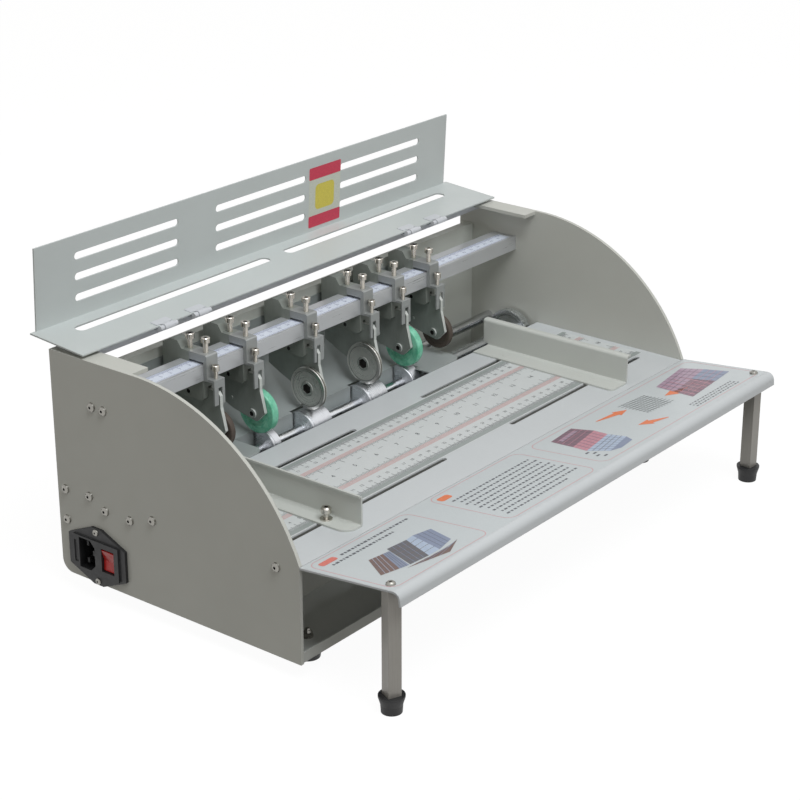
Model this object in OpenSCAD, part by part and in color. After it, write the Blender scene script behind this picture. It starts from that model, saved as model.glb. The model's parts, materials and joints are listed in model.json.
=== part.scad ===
// Desktop paper creasing machine: folded steel frame, feed table with two
// side fences, driven roller shaft, six sliding creasing heads on a square
// bar, hinged slotted cover shown laid back, and a front catch shelf on legs.
// Millimetres, +X to the right, +Y to the rear, +Z up.

/* [Frame] */
// Width over the two side plates
frame_w = 497.2; // [480:0.1:520]
// Sheet thickness of the side plates
plate_t = 3; // [2.5:0.1:3.5]
// Room between the top of the cross bar and the top of the side plates
top_room = 26.8; // [26.8:0.1:40]
// Room between the front of the rear panel and the rear of the side plates
rear_room = 14.1; // [13:0.1:20]
// Width of the flange along the top of each side plate, over the plate
flange_w = 18.6; // [14:0.1:22]
// Length of that flange, forward from the rear
flange_l = 82; // [60:1:85]
// Radius of the rear bottom corner of the side plates
corner_r = 10; // [4:1:12]
// Sheet thickness of the pan, the rear panel, the table and the shelf
sheet_t = 1.5; // [1:0.1:2]
// Height of the rubber feet's bottoms below the side plates
foot_drop = 12.9; // [10:0.1:20]

/* [Feed table] */
// Height of the table's top above the side plates' bottoms
table_z = 75.6; // [74:0.1:90]
// Depth of the table
table_d = 150; // [145:1:165]
// Width of the fence slots in the table
slot_w = 4.6; // [4.4:0.1:5.4]
// Distance of the front slots from the table's front edge
front_slot_y = 33; // [28:1:50]
// Distance of the rear slots from the table's rear edge
rear_slot_back = 28; // [25:0.5:40]
// Inner ends of the slots, measured from the middle
slot_in = 42; // [38:1:60]
// Gap between the slots' outer ends and the side plates
slot_margin = 16.6; // [12:0.1:25]

/* [Fences] */
// Distance of the left fence's plate from the left side plate
left_fence_in = 72.3; // [66:0.1:120]
// Distance of the right fence's plate from the right side plate
right_fence_in = 75.4; // [66:0.1:120]
// Height of the fences above the table
fence_h = 24.5; // [18:0.1:28]
// Base flange width of the left fence
left_base_w = 15.2; // [13:0.1:20]
// Base flange width of the right fence
right_base_w = 21; // [13:0.1:24]

/* [Front shelf] */
// Depth of the shelf along its slope
shelf_d = 87.1; // [70:0.1:110]
// Rise of the shelf toward its front edge, in degrees
shelf_tilt = 5.9; // [2:0.1:9]
// Height of the shelf's front lip
shelf_lip = 10.5; // [8:0.1:14]
// Side of the square legs
leg_w = 10; // [8:0.5:12]
// Distance of the legs' middles from the outsides of the side plates
leg_in = 8.6; // [8:0.1:40]
// Turn of the left leg about its own axis, in degrees
left_leg_turn = -24; // [-45:1:45]
// Turn of the right leg about its own axis, in degrees
right_leg_turn = -4; // [-45:1:45]

/* [Feed shaft] */
// Diameter of the shaft
shaft_d = 11; // [8:0.5:12]
// Depth of the shaft's axis below the table's top
shaft_drop = 13.1; // [13:0.1:16]
// Distance of the shaft's axis behind the table
shaft_back = 25; // [24:0.5:32]
// Diameter of the rollers
roller_d = 31.6; // [28:0.1:31.6]
// Diameter of the knurled hand wheel
hand_wheel_d = 43; // [36:1:46]
// Thickness of the hand wheel
hand_wheel_t = 7.3; // [5:0.1:9]

/* [Chute] */
// Radius of the curved paper chute, inside
chute_r = 40.5; // [40.5:0.5:44]
// Sheet thickness of the chute
chute_t = 1.2; // [1:0.1:1.5]
// Gap between the left side plate and the chute
chute_left = 70.6; // [56:0.1:85]
// Gap between the right side plate and the chute
chute_right = 112.6; // [96:0.1:120]

/* [Cross bar] */
// Depth of the square bar
bar_d = 23.7; // [22:0.1:25]
// Height of the square bar
bar_h = 12.4; // [12:0.1:14]

/* [Creasing heads] */
// Place of the first head, counted from the left
head1_x = -148; // [-156:0.1:-144]
// Place of the second head
head2_x = -104.2; // [-108:0.1:-100]
// Place of the third head
head3_x = -34.1; // [-40:0.1:-28]
// Place of the fourth head
head4_x = 35.5; // [28:0.1:40]
// Place of the fifth head
head5_x = 76.2; // [74:0.1:78]
// Place of the sixth head
head6_x = 122.8; // [120:0.1:136]
// Width of a head's block
block_w = 12; // [11:0.1:13]
// Thickness of a head's arm
arm_t = 3; // [2.5:0.1:3.4]
// Diameter of the creasing wheels
wheel_d = 35.6; // [34:0.1:36.4]
// Diameter of the outer heads' narrow wheels
small_wheel_d = 30.6; // [28:0.1:34]
// Width of the green polyurethane wheels
wheel_w = 7; // [5:0.1:7.5]
// Paper gap between the wheels and the rollers
paper_gap = 0.9; // [0.3:0.05:1.2]
// Diameter of the arms' pivot pins
pivot_d = 5; // [4:0.1:6]
// Lift of an arm, in degrees
arm_lift = 4; // [2:0.5:4]

/* [Cover] */
// Depth of the cover's top panel
cover_d = 54.7; // [50:0.1:56]
// Height of the cover's front panel, upright while the cover is open
cover_h = 65.2; // [40:0.1:68]
// Sheet thickness of the cover
cover_t = 1.2; // [1:0.1:1.5]
// Width of the slots in the cover
cover_slot_w = 6; // [4:0.5:7]
// Distance of the hinge axis from the rear of the side plates
hinge_back = 37.8; // [34:0.1:40]
// Slope of the open cover's top panel, in degrees
cover_tilt = 4.3; // [2:0.1:5]
// Length of each hinge
hinge_l = 18; // [14:0.5:24]
// Distance of the outer hinges' middles from the outsides of the side plates
hinge_in = 84; // [60:1:110]
// Distance between two neighbouring hinges
hinge_pitch = 36; // [30:1:60]

/* [Power inlet] */
// Distance of the inlet's middle from the rear of the side plates
inlet_back = 40.4; // [39:0.1:46]
// Height of the inlet's lower screw
inlet_low = 3.3; // [3.3:0.1:4.5]
// Distance between the inlet's two screws
inlet_pitch = 40; // [36:0.1:42]

/* [Screws and clearances] */
// Diameter of the frame screws
screw_d = 4; // [3:0.1:4.2]
// Thickness of the frame screws' button heads
screw_head_t = 2.2; // [1.5:0.1:3]
// Clearance of screw holes and other loose fits, on the radius
hole_gap = 0.25; // [0.1:0.05:0.4]
// Clearance of running fits, on the radius
run_gap = 0.05; // [0.02:0.01:0.1]
// Clearance between sheets that lie against each other
seat_gap = 0.1; // [0.05:0.05:0.2]

/* [Hidden] */
$fn = 64;

// Colours
PAINT = [0.70, 0.71, 0.70];
TABLE = [0.77, 0.80, 0.82];
STEEL = [0.74, 0.75, 0.76];
ZINC = [0.62, 0.62, 0.60];
DARK = [0.27, 0.29, 0.28];
BLACK = [0.12, 0.12, 0.13];
RUBBER = [0.10, 0.10, 0.10];
GREEN = [0.25, 0.68, 0.52];
BROWN = [0.25, 0.18, 0.15];
RED = [0.80, 0.10, 0.10];

// Side to side
half_w = frame_w / 2;
in_x = half_w - plate_t;
fit_x = in_x - seat_gap;
flange_x = half_w - flange_w;
slot_out = in_x - slot_margin;
leg_x = half_w - leg_in;
left_fence_x = left_fence_in - in_x;
right_fence_x = in_x - right_fence_in;
chute_x0 = chute_left - in_x;
chute_x1 = in_x - chute_right;
hinge_xs = [for (k = [0, 1], x = [-1, 1]) x * (half_w - hinge_in - k * hinge_pitch)];
screw_r = screw_d / 2;
hole_r = screw_r + hole_gap;
tap_r = screw_r + run_gap;
head_xs = [head1_x, head2_x, head3_x, head4_x, head5_x, head6_x];
// Hand of each head: 1 has its wheel on the right of its arm, -1 on the left
hands = [1, 1, -1, -1, 1, 1];
// Rollers as [head that each faces, left end from that head, width]
rollers = [[1, 10.2, 9], [2, -13.6, 23.7], [3, -11.6, 23.1], [4, 3.3, 11.5]];

// Upward: table, shaft, wheel axles, pivots, bar, top of the frame
table_under = table_z - sheet_t;
shaft_z = table_z - shaft_drop;
axle_z = shaft_z + roller_d / 2 + paper_gap + wheel_d / 2;
pivot_z = axle_z + 29.3;
bar_z0 = pivot_z + 12.3;
bar_z1 = bar_z0 + bar_h;
frame_h = bar_z1 + top_room;
flange_z = frame_h - plate_t;
pan_z = 1;
pan_top = pan_z + sheet_t;

// Rearward: table, shaft, pivots, bar, chute, rear panel, end of the frame
rear_slot_y = table_d - rear_slot_back;
shaft_y = table_d + shaft_back;
axle_y = shaft_y - 2.6;
pivot_y = shaft_y + 17;
bar_y0 = shaft_y + 0.5;
bar_y1 = bar_y0 + bar_d;
chute_y = shaft_y + 6.5;
chute_top = table_z + 0.9;
chute_cz = chute_top + chute_r;
panel_y = chute_y + chute_r + chute_t;
frame_d = panel_y + rear_room;
panel_h = bar_z1 + 2.8;
inlet_y = frame_d - inlet_back;
inlet_z = inlet_low + inlet_pitch / 2;

// Side plate's arc, from its front edge to the level top
front_h = table_z + 0.4;
arc_y = shaft_y - 23.8;
arc_rise = frame_h - front_h;
arc_r = (arc_y * arc_y + arc_rise * arc_rise) / (2 * arc_rise);

// Tie rods that carry the table's rear edge and stiffen the frame
rod_r = 4.8;
rod_front = [table_d - 10.6, table_under - rod_r];
rod_rear = [shaft_y + 28.8, shaft_z + 7.5];

// Side screws as [y, z, length beyond the plate's inner face]
bar_screw_y = bar_y0 + 8.5;
bar_screw_pitch = bar_d - 11.9;
bar_screw_z = bar_z0 + 4.3;
bearing_pitch = 25.3;
bearing_t = 2.5;
panel_flange = 12;
side_screws = [
    [bar_screw_y, bar_screw_z, 7],
    [bar_screw_y + bar_screw_pitch, bar_screw_z, 7],
    [panel_y + 5.8, shaft_z + 6.4, 3],
    [panel_y + 5.8, shaft_z - 18.3, 3],
    [shaft_y - bearing_pitch / 2, shaft_z, bearing_t],
    [shaft_y + bearing_pitch / 2, shaft_z, bearing_t],
    [rod_front[0], rod_front[1], 7],
    [rod_rear[0], rod_rear[1], 7],
    [20.8, table_z - 5.9, 3]];

// Rubber feet under the pan and the depth of their screw recesses
pan_feet = [for (x = [-1, 1]) for (p = [[28, 21], [45, panel_y - 22]])
    [x * (fit_x - p[0]), p[1]]];
foot_sink = 6;

// Head profile: block, strap, arm and screws, all placed from the bar
arm_top = pivot_z + 3.7;
arm_x0 = 0.8 - arm_t / 2;
column_y0 = bar_y0 - 3.5;
jaw_y = bar_y0 + 14.5;
clamp_ys = [bar_y0 + 2.5, bar_y0 + 18.5];
press_y = bar_y0 - 6.9;
press_r = 1.5;
fork_t = 1.5;
fork_y0 = press_y - press_r - fork_t - 0.6;
nose_y = fork_y0 - 0.6;
press_tip = arm_top + (pivot_y - press_y + press_r) * tan(arm_lift) + 0.3;
wheel_x0 = arm_x0 + arm_t + 0.5;
axle_r = 3;

// Cover, hinge and rail
hinge_y = frame_d - hinge_back;
hinge_z = frame_h + 2.2;
knuckle_r = 2.15;
hinge_pin_r = 1.2;
leaf_t = 1;
cover_y = hinge_y + 2.4;
cover_z = hinge_z + 0.1;
rail_y0 = hinge_y + 11;
rail_y1 = rail_y0 + 6.5;

// Inlet and rocker
inlet_flange_t = 2.5;
inlet_rim_t = 4;
inlet_lug = 3.2;
inlet_out = [29.4, inlet_pitch / 2 + inlet_lug];
inlet_edge = [5, 12.4];
inlet_body = [47.4, 27.8, 26];
rocker_rest = 7;

// Drive
motor_y = shaft_y - 47;
motor_z = 33;
belt_x = -in_x + 19.6;
belt_w = 6;
belt_t = 1.2;
pulley_r = 14;
motor_pulley_r = 7;

// The part stands on the ground, centred under its own box
rear_reach = cover_y + cover_d * cos(cover_tilt);
front_reach = shelf_d * cos(shelf_tilt) + shelf_lip * sin(shelf_tilt) + 2 * seat_gap;
origin_x = (inlet_rim_t - screw_head_t) / 2;
origin_y = (front_reach - rear_reach) / 2;
origin_z = foot_drop;

module placed() {
    translate([origin_x, origin_y, origin_z]) children();
}

// Cylinder along X from a left end
module rod_x(x, y, z, r, len) {
    translate([x, y, z]) rotate([0, 90, 0]) cylinder(r = r, h = len);
}

// Y-Z outline drawn out along X
module prism_x(x, len) {
    translate([x, 0, 0]) rotate([90, 0, 90]) linear_extrude(len) children();
}

// Turned piece with its axis along X
module turned_x(x, y, z) {
    translate([x, y, z]) rotate([0, 90, 0]) rotate_extrude() children();
}

// Slot with round ends along X, cut through in Z
module long_slot(x1, x2, w, t) {
    translate([x1 + w / 2, -w / 2, 0]) cube([x2 - x1 - w, w, t]);
    for (x = [x1 + w / 2, x2 - w / 2])
        translate([x, 0, 0]) cylinder(d = w, h = t);
}

// Button head screw along +X, its head on the outside of a face at x = 0
module button_screw(r, head_t, len) {
    difference() {
        union() {
            turned_x(0, 0, 0) polygon([[0, 0], [0, -head_t], [r * 1.1, -head_t],
                [r * 1.65, -head_t * 0.6], [r * 1.8, 0]]);
            rod_x(0, 0, 0, r, len);
        }
        translate([-head_t - 1, 0, 0]) rotate([0, 90, 0])
            cylinder(r = r * 0.6, h = head_t * 0.6 + 1, $fn = 6);
    }
}

// Cap screw along -Z, its head's underside at z = 0
module cap_screw(r, head_r, head_h, len) {
    difference() {
        union() {
            cylinder(r = head_r, h = head_h - 0.4);
            translate([0, 0, head_h - 0.4]) cylinder(r1 = head_r, r2 = head_r - 0.4, h = 0.4);
            translate([0, 0, -len]) cylinder(r = r, h = len + 0.1);
        }
        translate([0, 0, head_h * 0.45]) cylinder(r = r * 0.85, h = head_h, $fn = 6);
    }
}

// Side plate outline: arc from the low front edge up to the level top
module plate_outline() {
    intersection() {
        translate([arc_y, frame_h - arc_r]) circle(arc_r, $fn = 180);
        square([arc_y, frame_h]);
    }
    translate([arc_y, 0]) square([frame_d - corner_r - arc_y, frame_h]);
    translate([frame_d - corner_r, corner_r]) square([corner_r, frame_h - corner_r]);
    translate([frame_d - corner_r, corner_r]) circle(corner_r);
}

// Right side plate with its flange and screw holes; the left one is mirrored
module side_plate_blank() {
    difference() {
        prism_x(in_x, plate_t) plate_outline();
        for (s = side_screws) rod_x(in_x - 1, s[0], s[1], hole_r, plate_t + 2);
    }
    translate([flange_x, frame_d - flange_l, flange_z])
        cube([in_x - flange_x, flange_l, plate_t]);
}

// Frame of the inlet: x toward the front, y up, z outward from the left plate
module at_inlet() {
    translate([-half_w, inlet_y, inlet_z]) rotate([90, 0, -90]) children();
}

module left_side_plate() {
    color(PAINT) placed() difference() {
        mirror([1, 0, 0]) side_plate_blank();
        at_inlet() {
            translate([-inlet_body[0] / 2 - hole_gap, -inlet_body[1] / 2 - hole_gap, -plate_t - 1])
                cube([inlet_body[0] + 2 * hole_gap, inlet_body[1] + 2 * hole_gap, plate_t + 2]);
            for (k = [-1, 1]) translate([0, k * inlet_pitch / 2, -plate_t - 1])
                cylinder(r = 1.5 + run_gap, h = plate_t + 2);
        }
    }
}

module right_side_plate() {
    color(PAINT) placed() difference() {
        side_plate_blank();
        rod_x(in_x - 1, shaft_y, shaft_z, shaft_d / 2 + 3 + seat_gap, plate_t + 2);
    }
}

// Folded pan: floor, front lip, side flanges and the upright baffle
module base_pan() {
    baffle_y = table_d * 0.42;
    baffle_x = fit_x - sheet_t - seat_gap;
    color(PAINT) placed() difference() {
        union() {
            translate([-fit_x, 0, pan_z]) cube([2 * fit_x, panel_y - seat_gap, sheet_t]);
            translate([-fit_x, 0, pan_z]) cube([2 * fit_x, sheet_t, 8]);
            for (x = [-fit_x, fit_x - sheet_t])
                translate([x, 6, pan_z]) cube([sheet_t, table_d - 6, 12]);
            translate([-baffle_x, baffle_y, pan_z])
                cube([2 * baffle_x, sheet_t, table_under - seat_gap - pan_z]);
        }
        translate([-fit_x - 1, inlet_y - 10, pan_z - 1]) cube([12, 20, sheet_t + 2]);
        for (p = pan_feet) translate([p[0], p[1], pan_z - 1]) cylinder(r = tap_r, h = sheet_t + 2);
    }
}

// Rear panel with end flanges and a turned top edge
module rear_panel() {
    color(PAINT) placed() difference() {
        union() {
            translate([-fit_x, panel_y, pan_z]) cube([2 * fit_x, sheet_t, panel_h - pan_z]);
            translate([-fit_x, panel_y, panel_h - sheet_t]) cube([2 * fit_x, 8, sheet_t]);
            for (x = [-fit_x, fit_x - sheet_t])
                translate([x, panel_y, pan_z]) cube([sheet_t, panel_flange, panel_h - pan_z]);
        }
        for (s = [side_screws[2], side_screws[3]])
            rod_x(-half_w, s[0], s[1], tap_r, frame_w);
        for (k = [0:6]) translate([-150 + 50 * k, panel_y - 1, shaft_z - 34])
            rotate([-90, 0, 0]) cylinder(d = 9, h = sheet_t + 2);
    }
}

// Plan of one tongue at the chute's foot, with one rounded outer corner
module tongue(x0, x1, round_r) {
    y0 = table_d + seat_gap * 3;
    translate([x0, y0 + round_r, 0]) square([x1 - x0, chute_y - y0 - round_r]);
    translate([x0, y0]) square([x1 - x0 - round_r, round_r]);
    translate([x1 - round_r, y0 + round_r]) circle(round_r);
}

// Curved chute from the table's rear edge up to the rear panel, with a web
// turned down behind the shaft between its two tongues
module paper_chute() {
    len = chute_x1 - chute_x0;
    web_x0 = chute_x0 + 58;
    web_x1 = chute_x1 - 45;
    color([0.60, 0.63, 0.65]) placed() difference() {
        union() {
            intersection() {
                difference() {
                    rod_x(chute_x0, chute_y, chute_cz, chute_r + chute_t, len);
                    rod_x(chute_x0 - 1, chute_y, chute_cz, chute_r, len + 2);
                }
                translate([chute_x0 - 1, chute_y, chute_top - chute_t - 1])
                    cube([len + 2, chute_r + chute_t, chute_r + chute_t + 1]);
            }
            translate([chute_x0, panel_y - chute_t, chute_cz])
                cube([len, chute_t, panel_h - chute_cz - 8]);
            translate([0, 0, chute_top - chute_t]) linear_extrude(chute_t) {
                tongue(chute_x0, web_x0, 8);
                tongue(web_x1, chute_x1, 8);
            }
            translate([web_x0, chute_y, shaft_z + 1.5])
                cube([web_x1 - web_x0, chute_t, chute_top - chute_t / 2 - shaft_z - 1.5]);
        }
        for (r = rollers)
            rod_x(head_xs[r[0]] + r[1] - 1.2, shaft_y, shaft_z, roller_d / 2 + 1.5, r[2] + 2.4);
    }
}

module frame_tie_rods() {
    color(STEEL) placed() for (p = [rod_front, rod_rear]) difference() {
        rod_x(-in_x, p[0], p[1], rod_r, 2 * in_x);
        for (k = [0, 1]) rod_x(k * 2 * in_x - in_x - 8, p[0], p[1], tap_r, 16);
    }
}

// Table with four fence slots, side flanges and a turned rear edge
module feed_table() {
    color(TABLE) placed() difference() {
        union() {
            translate([-fit_x, seat_gap, table_under]) cube([2 * fit_x, table_d - seat_gap, sheet_t]);
            for (x = [-fit_x, fit_x - sheet_t])
                translate([x, 4, table_z - 15]) cube([sheet_t, rod_front[0] - rod_r - 7, 15]);
            translate([-fit_x, table_d - sheet_t, table_z - 5]) cube([2 * fit_x, sheet_t, 5]);
        }
        for (y = [front_slot_y, rear_slot_y]) translate([0, y, table_under - 1]) {
            long_slot(-slot_out, -slot_in, slot_w, sheet_t + 2);
            long_slot(slot_in, slot_out, slot_w, sheet_t + 2);
        }
        rod_x(-half_w, side_screws[8][0], side_screws[8][1], tap_r, frame_w);
    }
}

// Frame of the shelf: its top surface lies on z = 0, its rear edge on y = 0
module at_shelf() {
    translate([0, -2 * seat_gap, table_z]) rotate([-shelf_tilt, 0, 0]) children();
}

shelf_bend = 6;
shelf_screw_y = -(shelf_d - 14.1);

// Sloping shelf, rolled over at its front, with a tongue under the table
module front_shelf() {
    color(TABLE) placed() difference() {
        union() {
            at_shelf() {
                prism_x(-half_w, frame_w) {
                    translate([-shelf_d + shelf_bend, -sheet_t])
                        square([shelf_d - shelf_bend, sheet_t]);
                    translate([-shelf_d, -shelf_lip])
                        square([sheet_t, shelf_lip - shelf_bend]);
                    translate([-shelf_d + shelf_bend, -shelf_bend]) intersection() {
                        difference() {
                            circle(shelf_bend);
                            circle(shelf_bend - sheet_t);
                        }
                        translate([-shelf_bend, 0]) square(shelf_bend);
                    }
                }
            }
            translate([-in_x + 8, -4, table_under - sheet_t - seat_gap])
                cube([2 * in_x - 16, 14, sheet_t]);
            translate([-in_x + 8, -4, table_under - sheet_t - seat_gap])
                cube([2 * in_x - 16, 3.6, sheet_t * 1.6]);
        }
        for (x = [-leg_x, leg_x]) at_shelf() translate([x, shelf_screw_y, -8])
            cylinder(r = hole_r, h = 16);
    }
}

// One square leg with its plugged, slanted top under the shelf
module leg(x, turn) {
    y = shelf_screw_y * cos(shelf_tilt) - 0.7;
    foot_z = -foot_drop + 8;
    difference() {
        translate([x, y, foot_z]) rotate([0, 0, turn]) difference() {
            translate([-leg_w / 2, -leg_w / 2, 0]) cube([leg_w, leg_w, table_z + 30]);
            translate([1.2 - leg_w / 2, 1.2 - leg_w / 2, -1])
                cube([leg_w - 2.4, leg_w - 2.4, table_z - foot_z - 10]);
        }
        at_shelf() translate([x - 20, -shelf_d - 20, -sheet_t]) cube([40, shelf_d + 40, 60]);
        at_shelf() translate([x, shelf_screw_y, -12]) cylinder(r = tap_r, h = 16);
    }
}

module legs() {
    color(STEEL) placed() {
        leg(-leg_x, left_leg_turn);
        leg(leg_x, right_leg_turn);
    }
}

// Cup foot under a leg, with a square seat
module cup_foot(x, turn) {
    y = shelf_screw_y * cos(shelf_tilt) - 0.7;
    w = leg_w + 2 * run_gap;
    translate([x, y, -foot_drop]) difference() {
        rotate_extrude() polygon([[0, 0], [7.5, 0], [7.9, 6], [9.5, 11.5], [9.5, 13], [0, 13]]);
        translate([0, 0, 8]) rotate([0, 0, turn]) translate([-w / 2, -w / 2, 0]) cube([w, w, 10]);
    }
}

module rubber_feet() {
    color(RUBBER) placed() {
        cup_foot(-leg_x, left_leg_turn);
        cup_foot(leg_x, right_leg_turn);
        for (p = pan_feet) translate([p[0], p[1], -foot_drop]) difference() {
            cylinder(r1 = 9, r2 = 11, h = foot_drop + pan_z);
            translate([0, 0, -1]) cylinder(r = tap_r, h = foot_drop + 3);
            translate([0, 0, -1]) cylinder(r = 4.5, h = foot_sink + 1);
        }
    }
}

// Foot screw, upward through a pan foot, with its washer and nut on the pan
module foot_screw() {
    translate([0, 0, foot_sink - foot_drop]) mirror([0, 0, 1])
        cap_screw(screw_r, 3.5, 3, foot_drop - foot_sink + pan_top + 5.5);
    translate([0, 0, pan_top]) {
        cylinder(r = 4.2, h = 0.8);
        cylinder(r = 3.9, h = 3.6, $fn = 6);
        translate([0, 0, 3.5]) cylinder(r1 = 2.7, r2 = 1.4, h = 3.2);
    }
}

module frame_screws() {
    color(STEEL) placed() {
        for (s = side_screws) {
            translate([-half_w, s[0], s[1]]) button_screw(screw_r, screw_head_t, plate_t + s[2]);
            mirror([1, 0, 0]) translate([-half_w, s[0], s[1]])
                button_screw(screw_r, screw_head_t, plate_t + s[2]);
        }
        for (x = [-leg_x, leg_x]) at_shelf() translate([x, shelf_screw_y, 0])
            rotate([0, 90, 0]) button_screw(screw_r, screw_head_t, 11);
        for (k = [-1, 1]) translate([-half_w - inlet_flange_t, inlet_y, inlet_z + k * inlet_pitch / 2])
            button_screw(1.5, 1.5, inlet_flange_t + plate_t + 3);
        for (p = pan_feet) translate([p[0], p[1], 0]) foot_screw();
    }
}

module cross_bar() {
    color(STEEL) placed() difference() {
        translate([-in_x, bar_y0, bar_z0]) cube([2 * in_x, bar_d, bar_h]);
        for (s = [side_screws[0], side_screws[1]]) for (k = [0, 1])
            rod_x(k * 2 * in_x - in_x - 8, s[0], s[1], tap_r, 16);
    }
}

// Oval flange of a bearing, drawn on the Y-Z plane
module bearing_flange() {
    for (k = [-1, 1]) translate([k * bearing_pitch / 2, 0]) circle(6);
    translate([-bearing_pitch / 2, -6]) square([bearing_pitch, 12]);
    circle(shaft_d / 2 + 6);
}

// Left bearing with an inner boss, right bearing with a spigot through the plate
module bearing_housings() {
    color(ZINC) placed() translate([0, shaft_y, shaft_z]) difference() {
        union() {
            prism_x(-in_x, bearing_t) bearing_flange();
            rod_x(-in_x, 0, 0, shaft_d / 2 + 5, 12);
            prism_x(in_x - bearing_t, bearing_t) bearing_flange();
            rod_x(in_x - bearing_t, 0, 0, shaft_d / 2 + 3, bearing_t + plate_t);
        }
        rod_x(-half_w, 0, 0, shaft_d / 2 + run_gap, frame_w + 1);
        for (k = [-1, 1]) rod_x(-half_w, k * bearing_pitch / 2, 0, tap_r, frame_w);
    }
}

// Rail between the side plates with the fixed hinge leaves, their pins and a stop lip
module hinge_rail() {
    lip_y = rail_y1 - 1.5;
    lip_z = cover_z + (lip_y - cover_y) * tan(cover_tilt) - seat_gap / 2;
    color(PAINT) placed() {
        translate([-in_x + 2, rail_y0, flange_z - plate_t])
            cube([2 * in_x - 4, rail_y1 - rail_y0, plate_t]);
        translate([-flange_x + 0.3, rail_y0, flange_z - plate_t])
            cube([2 * flange_x - 0.6, rail_y1 - rail_y0, 2 * plate_t]);
        translate([-flange_x + 0.3, lip_y, flange_z])
            cube([2 * flange_x - 0.6, 1.5, lip_z - flange_z]);
        for (x = hinge_xs) translate([x, 0, 0]) {
            translate([-hinge_l / 2, rail_y0 - 2, frame_h]) cube([hinge_l, 6, leaf_t]);
            for (k = [-1, 1]) {
                w = hinge_l * 0.22;
                x0 = k < 0 ? -hinge_l / 2 : hinge_l / 2 - w;
                rod_x(x0, hinge_y, hinge_z, knuckle_r, w);
                translate([x0, hinge_y, hinge_z - knuckle_r])
                    cube([w, rail_y0 - hinge_y, leaf_t]);
            }
            rod_x(-hinge_l / 2, hinge_y, hinge_z, hinge_pin_r, hinge_l);
        }
    }
}

// Frame of the cover's top panel: front edge on y = 0, underside on z = 0
module at_cover() {
    translate([0, cover_y, cover_z]) rotate([cover_tilt, 0, 0]) children();
}

cover_fold = 88.6;
cover_end_gap = 2.1;

module cover() {
    panel_x = in_x - cover_end_gap;
    color(PAINT) placed() at_cover() {
        difference() {
            translate([-half_w, 0, 0]) cube([frame_w, cover_d, cover_t]);
            for (k = [-1, 1]) translate([k * 0.4634 * half_w, cover_d * 0.667, -1])
                long_slot(-0.4212 * half_w, 0.4212 * half_w, cover_slot_w, cover_t + 2);
        }
        translate([0, cover_d, 0]) rotate([cover_fold - 90, 0, 0]) difference() {
            translate([-panel_x, -cover_t, 0]) cube([2 * panel_x, cover_t, cover_h]);
            for (row = [0.25, 0.503, 0.752], c = [[-0.84, -0.394], [-0.222, 0.222], [0.4, 0.84]])
                translate([0, -cover_t - 1, cover_h * row]) rotate([-90, 0, 0])
                    long_slot(c[0] * panel_x, c[1] * panel_x, cover_slot_w, cover_t + 2);
        }
    }
}

// Moving hinge leaves, fixed to the underside of the cover's top panel
module cover_hinge_leaves() {
    w = hinge_l * 0.56 - 2 * seat_gap;
    color(PAINT) placed() for (x = hinge_xs) translate([x, 0, 0]) difference() {
        union() {
            rod_x(-w / 2, hinge_y, hinge_z, knuckle_r, w);
            at_cover() translate([-w / 2, hinge_y - cover_y, -leaf_t])
                cube([w, cover_y - hinge_y + 5.5, leaf_t]);
        }
        rod_x(-hinge_l, hinge_y, hinge_z, hinge_pin_r + run_gap, 2 * hinge_l);
    }
}

// Inlet with a three-pin socket, a fuse drawer and the rocker's pocket
module power_inlet() {
    o = inlet_out;
    e = inlet_edge;
    color(BLACK) placed() at_inlet() difference() {
        union() {
            linear_extrude(inlet_flange_t) polygon([[o[0], -e[1]], [o[0], e[1]], [e[0], o[1]],
                [-e[0], o[1]], [-o[0], e[1]], [-o[0], -e[1]], [-e[0], -o[1]], [e[0], -o[1]]]);
            translate([-23.4, -13.6, 0]) cube([46.8, 27.2, inlet_rim_t]);
            translate([-inlet_body[0] / 2, -inlet_body[1] / 2, -inlet_body[2]]) cube(inlet_body);
            for (b = [-8, 0, 8]) translate([-14, b - 3, -34]) cube([0.8, 6, 9]);
            for (b = [-6, 6]) translate([12, b - 3, -34]) cube([0.8, 6, 9]);
        }
        difference() {
            translate([0, 0, -12]) linear_extrude(20) polygon([[-17.2, -12.2], [-5.5, -12.2],
                [-0.8, -7.5], [-0.8, 7.5], [-5.5, 12.2], [-17.2, 12.2]]);
            for (p = [[-12, -7], [-12, 7], [-6, 0]])
                translate([p[0] - 1, p[1] - 2, -13]) cube([2, 4, 13]);
        }
        translate([6, -9.4, -8]) cube([13, 18.8, 20]);
        translate([4.7, 0, -0.5]) rotate([0, 90, 0]) cylinder(r = 1.2 + run_gap, h = 15.6);
        translate([-22.4, -9, inlet_rim_t - 0.8]) cube([3.6, 18, 2]);
        for (k = [-1, 1]) translate([0, k * inlet_pitch / 2, -1])
            cylinder(r = 1.5 + run_gap, h = inlet_flange_t + 2);
    }
}

// Rocker with two sloping faces on a cross pin
module rocker_switch() {
    color(RED) placed() at_inlet() translate([12.5, 0, -0.5]) {
        rotate([rocker_rest, 0, 0]) translate([-6.3, 0, 0]) rotate([90, 0, 90])
            linear_extrude(12.6) polygon([[-8.5, 3.4], [0, 2], [8.5, 3.4], [8.5, -3], [0, -4.5],
                [-8.5, -3]]);
        translate([-7.6, 0, 0]) rotate([0, 90, 0]) cylinder(r = 1.2, h = 15.2);
    }
}

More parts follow.
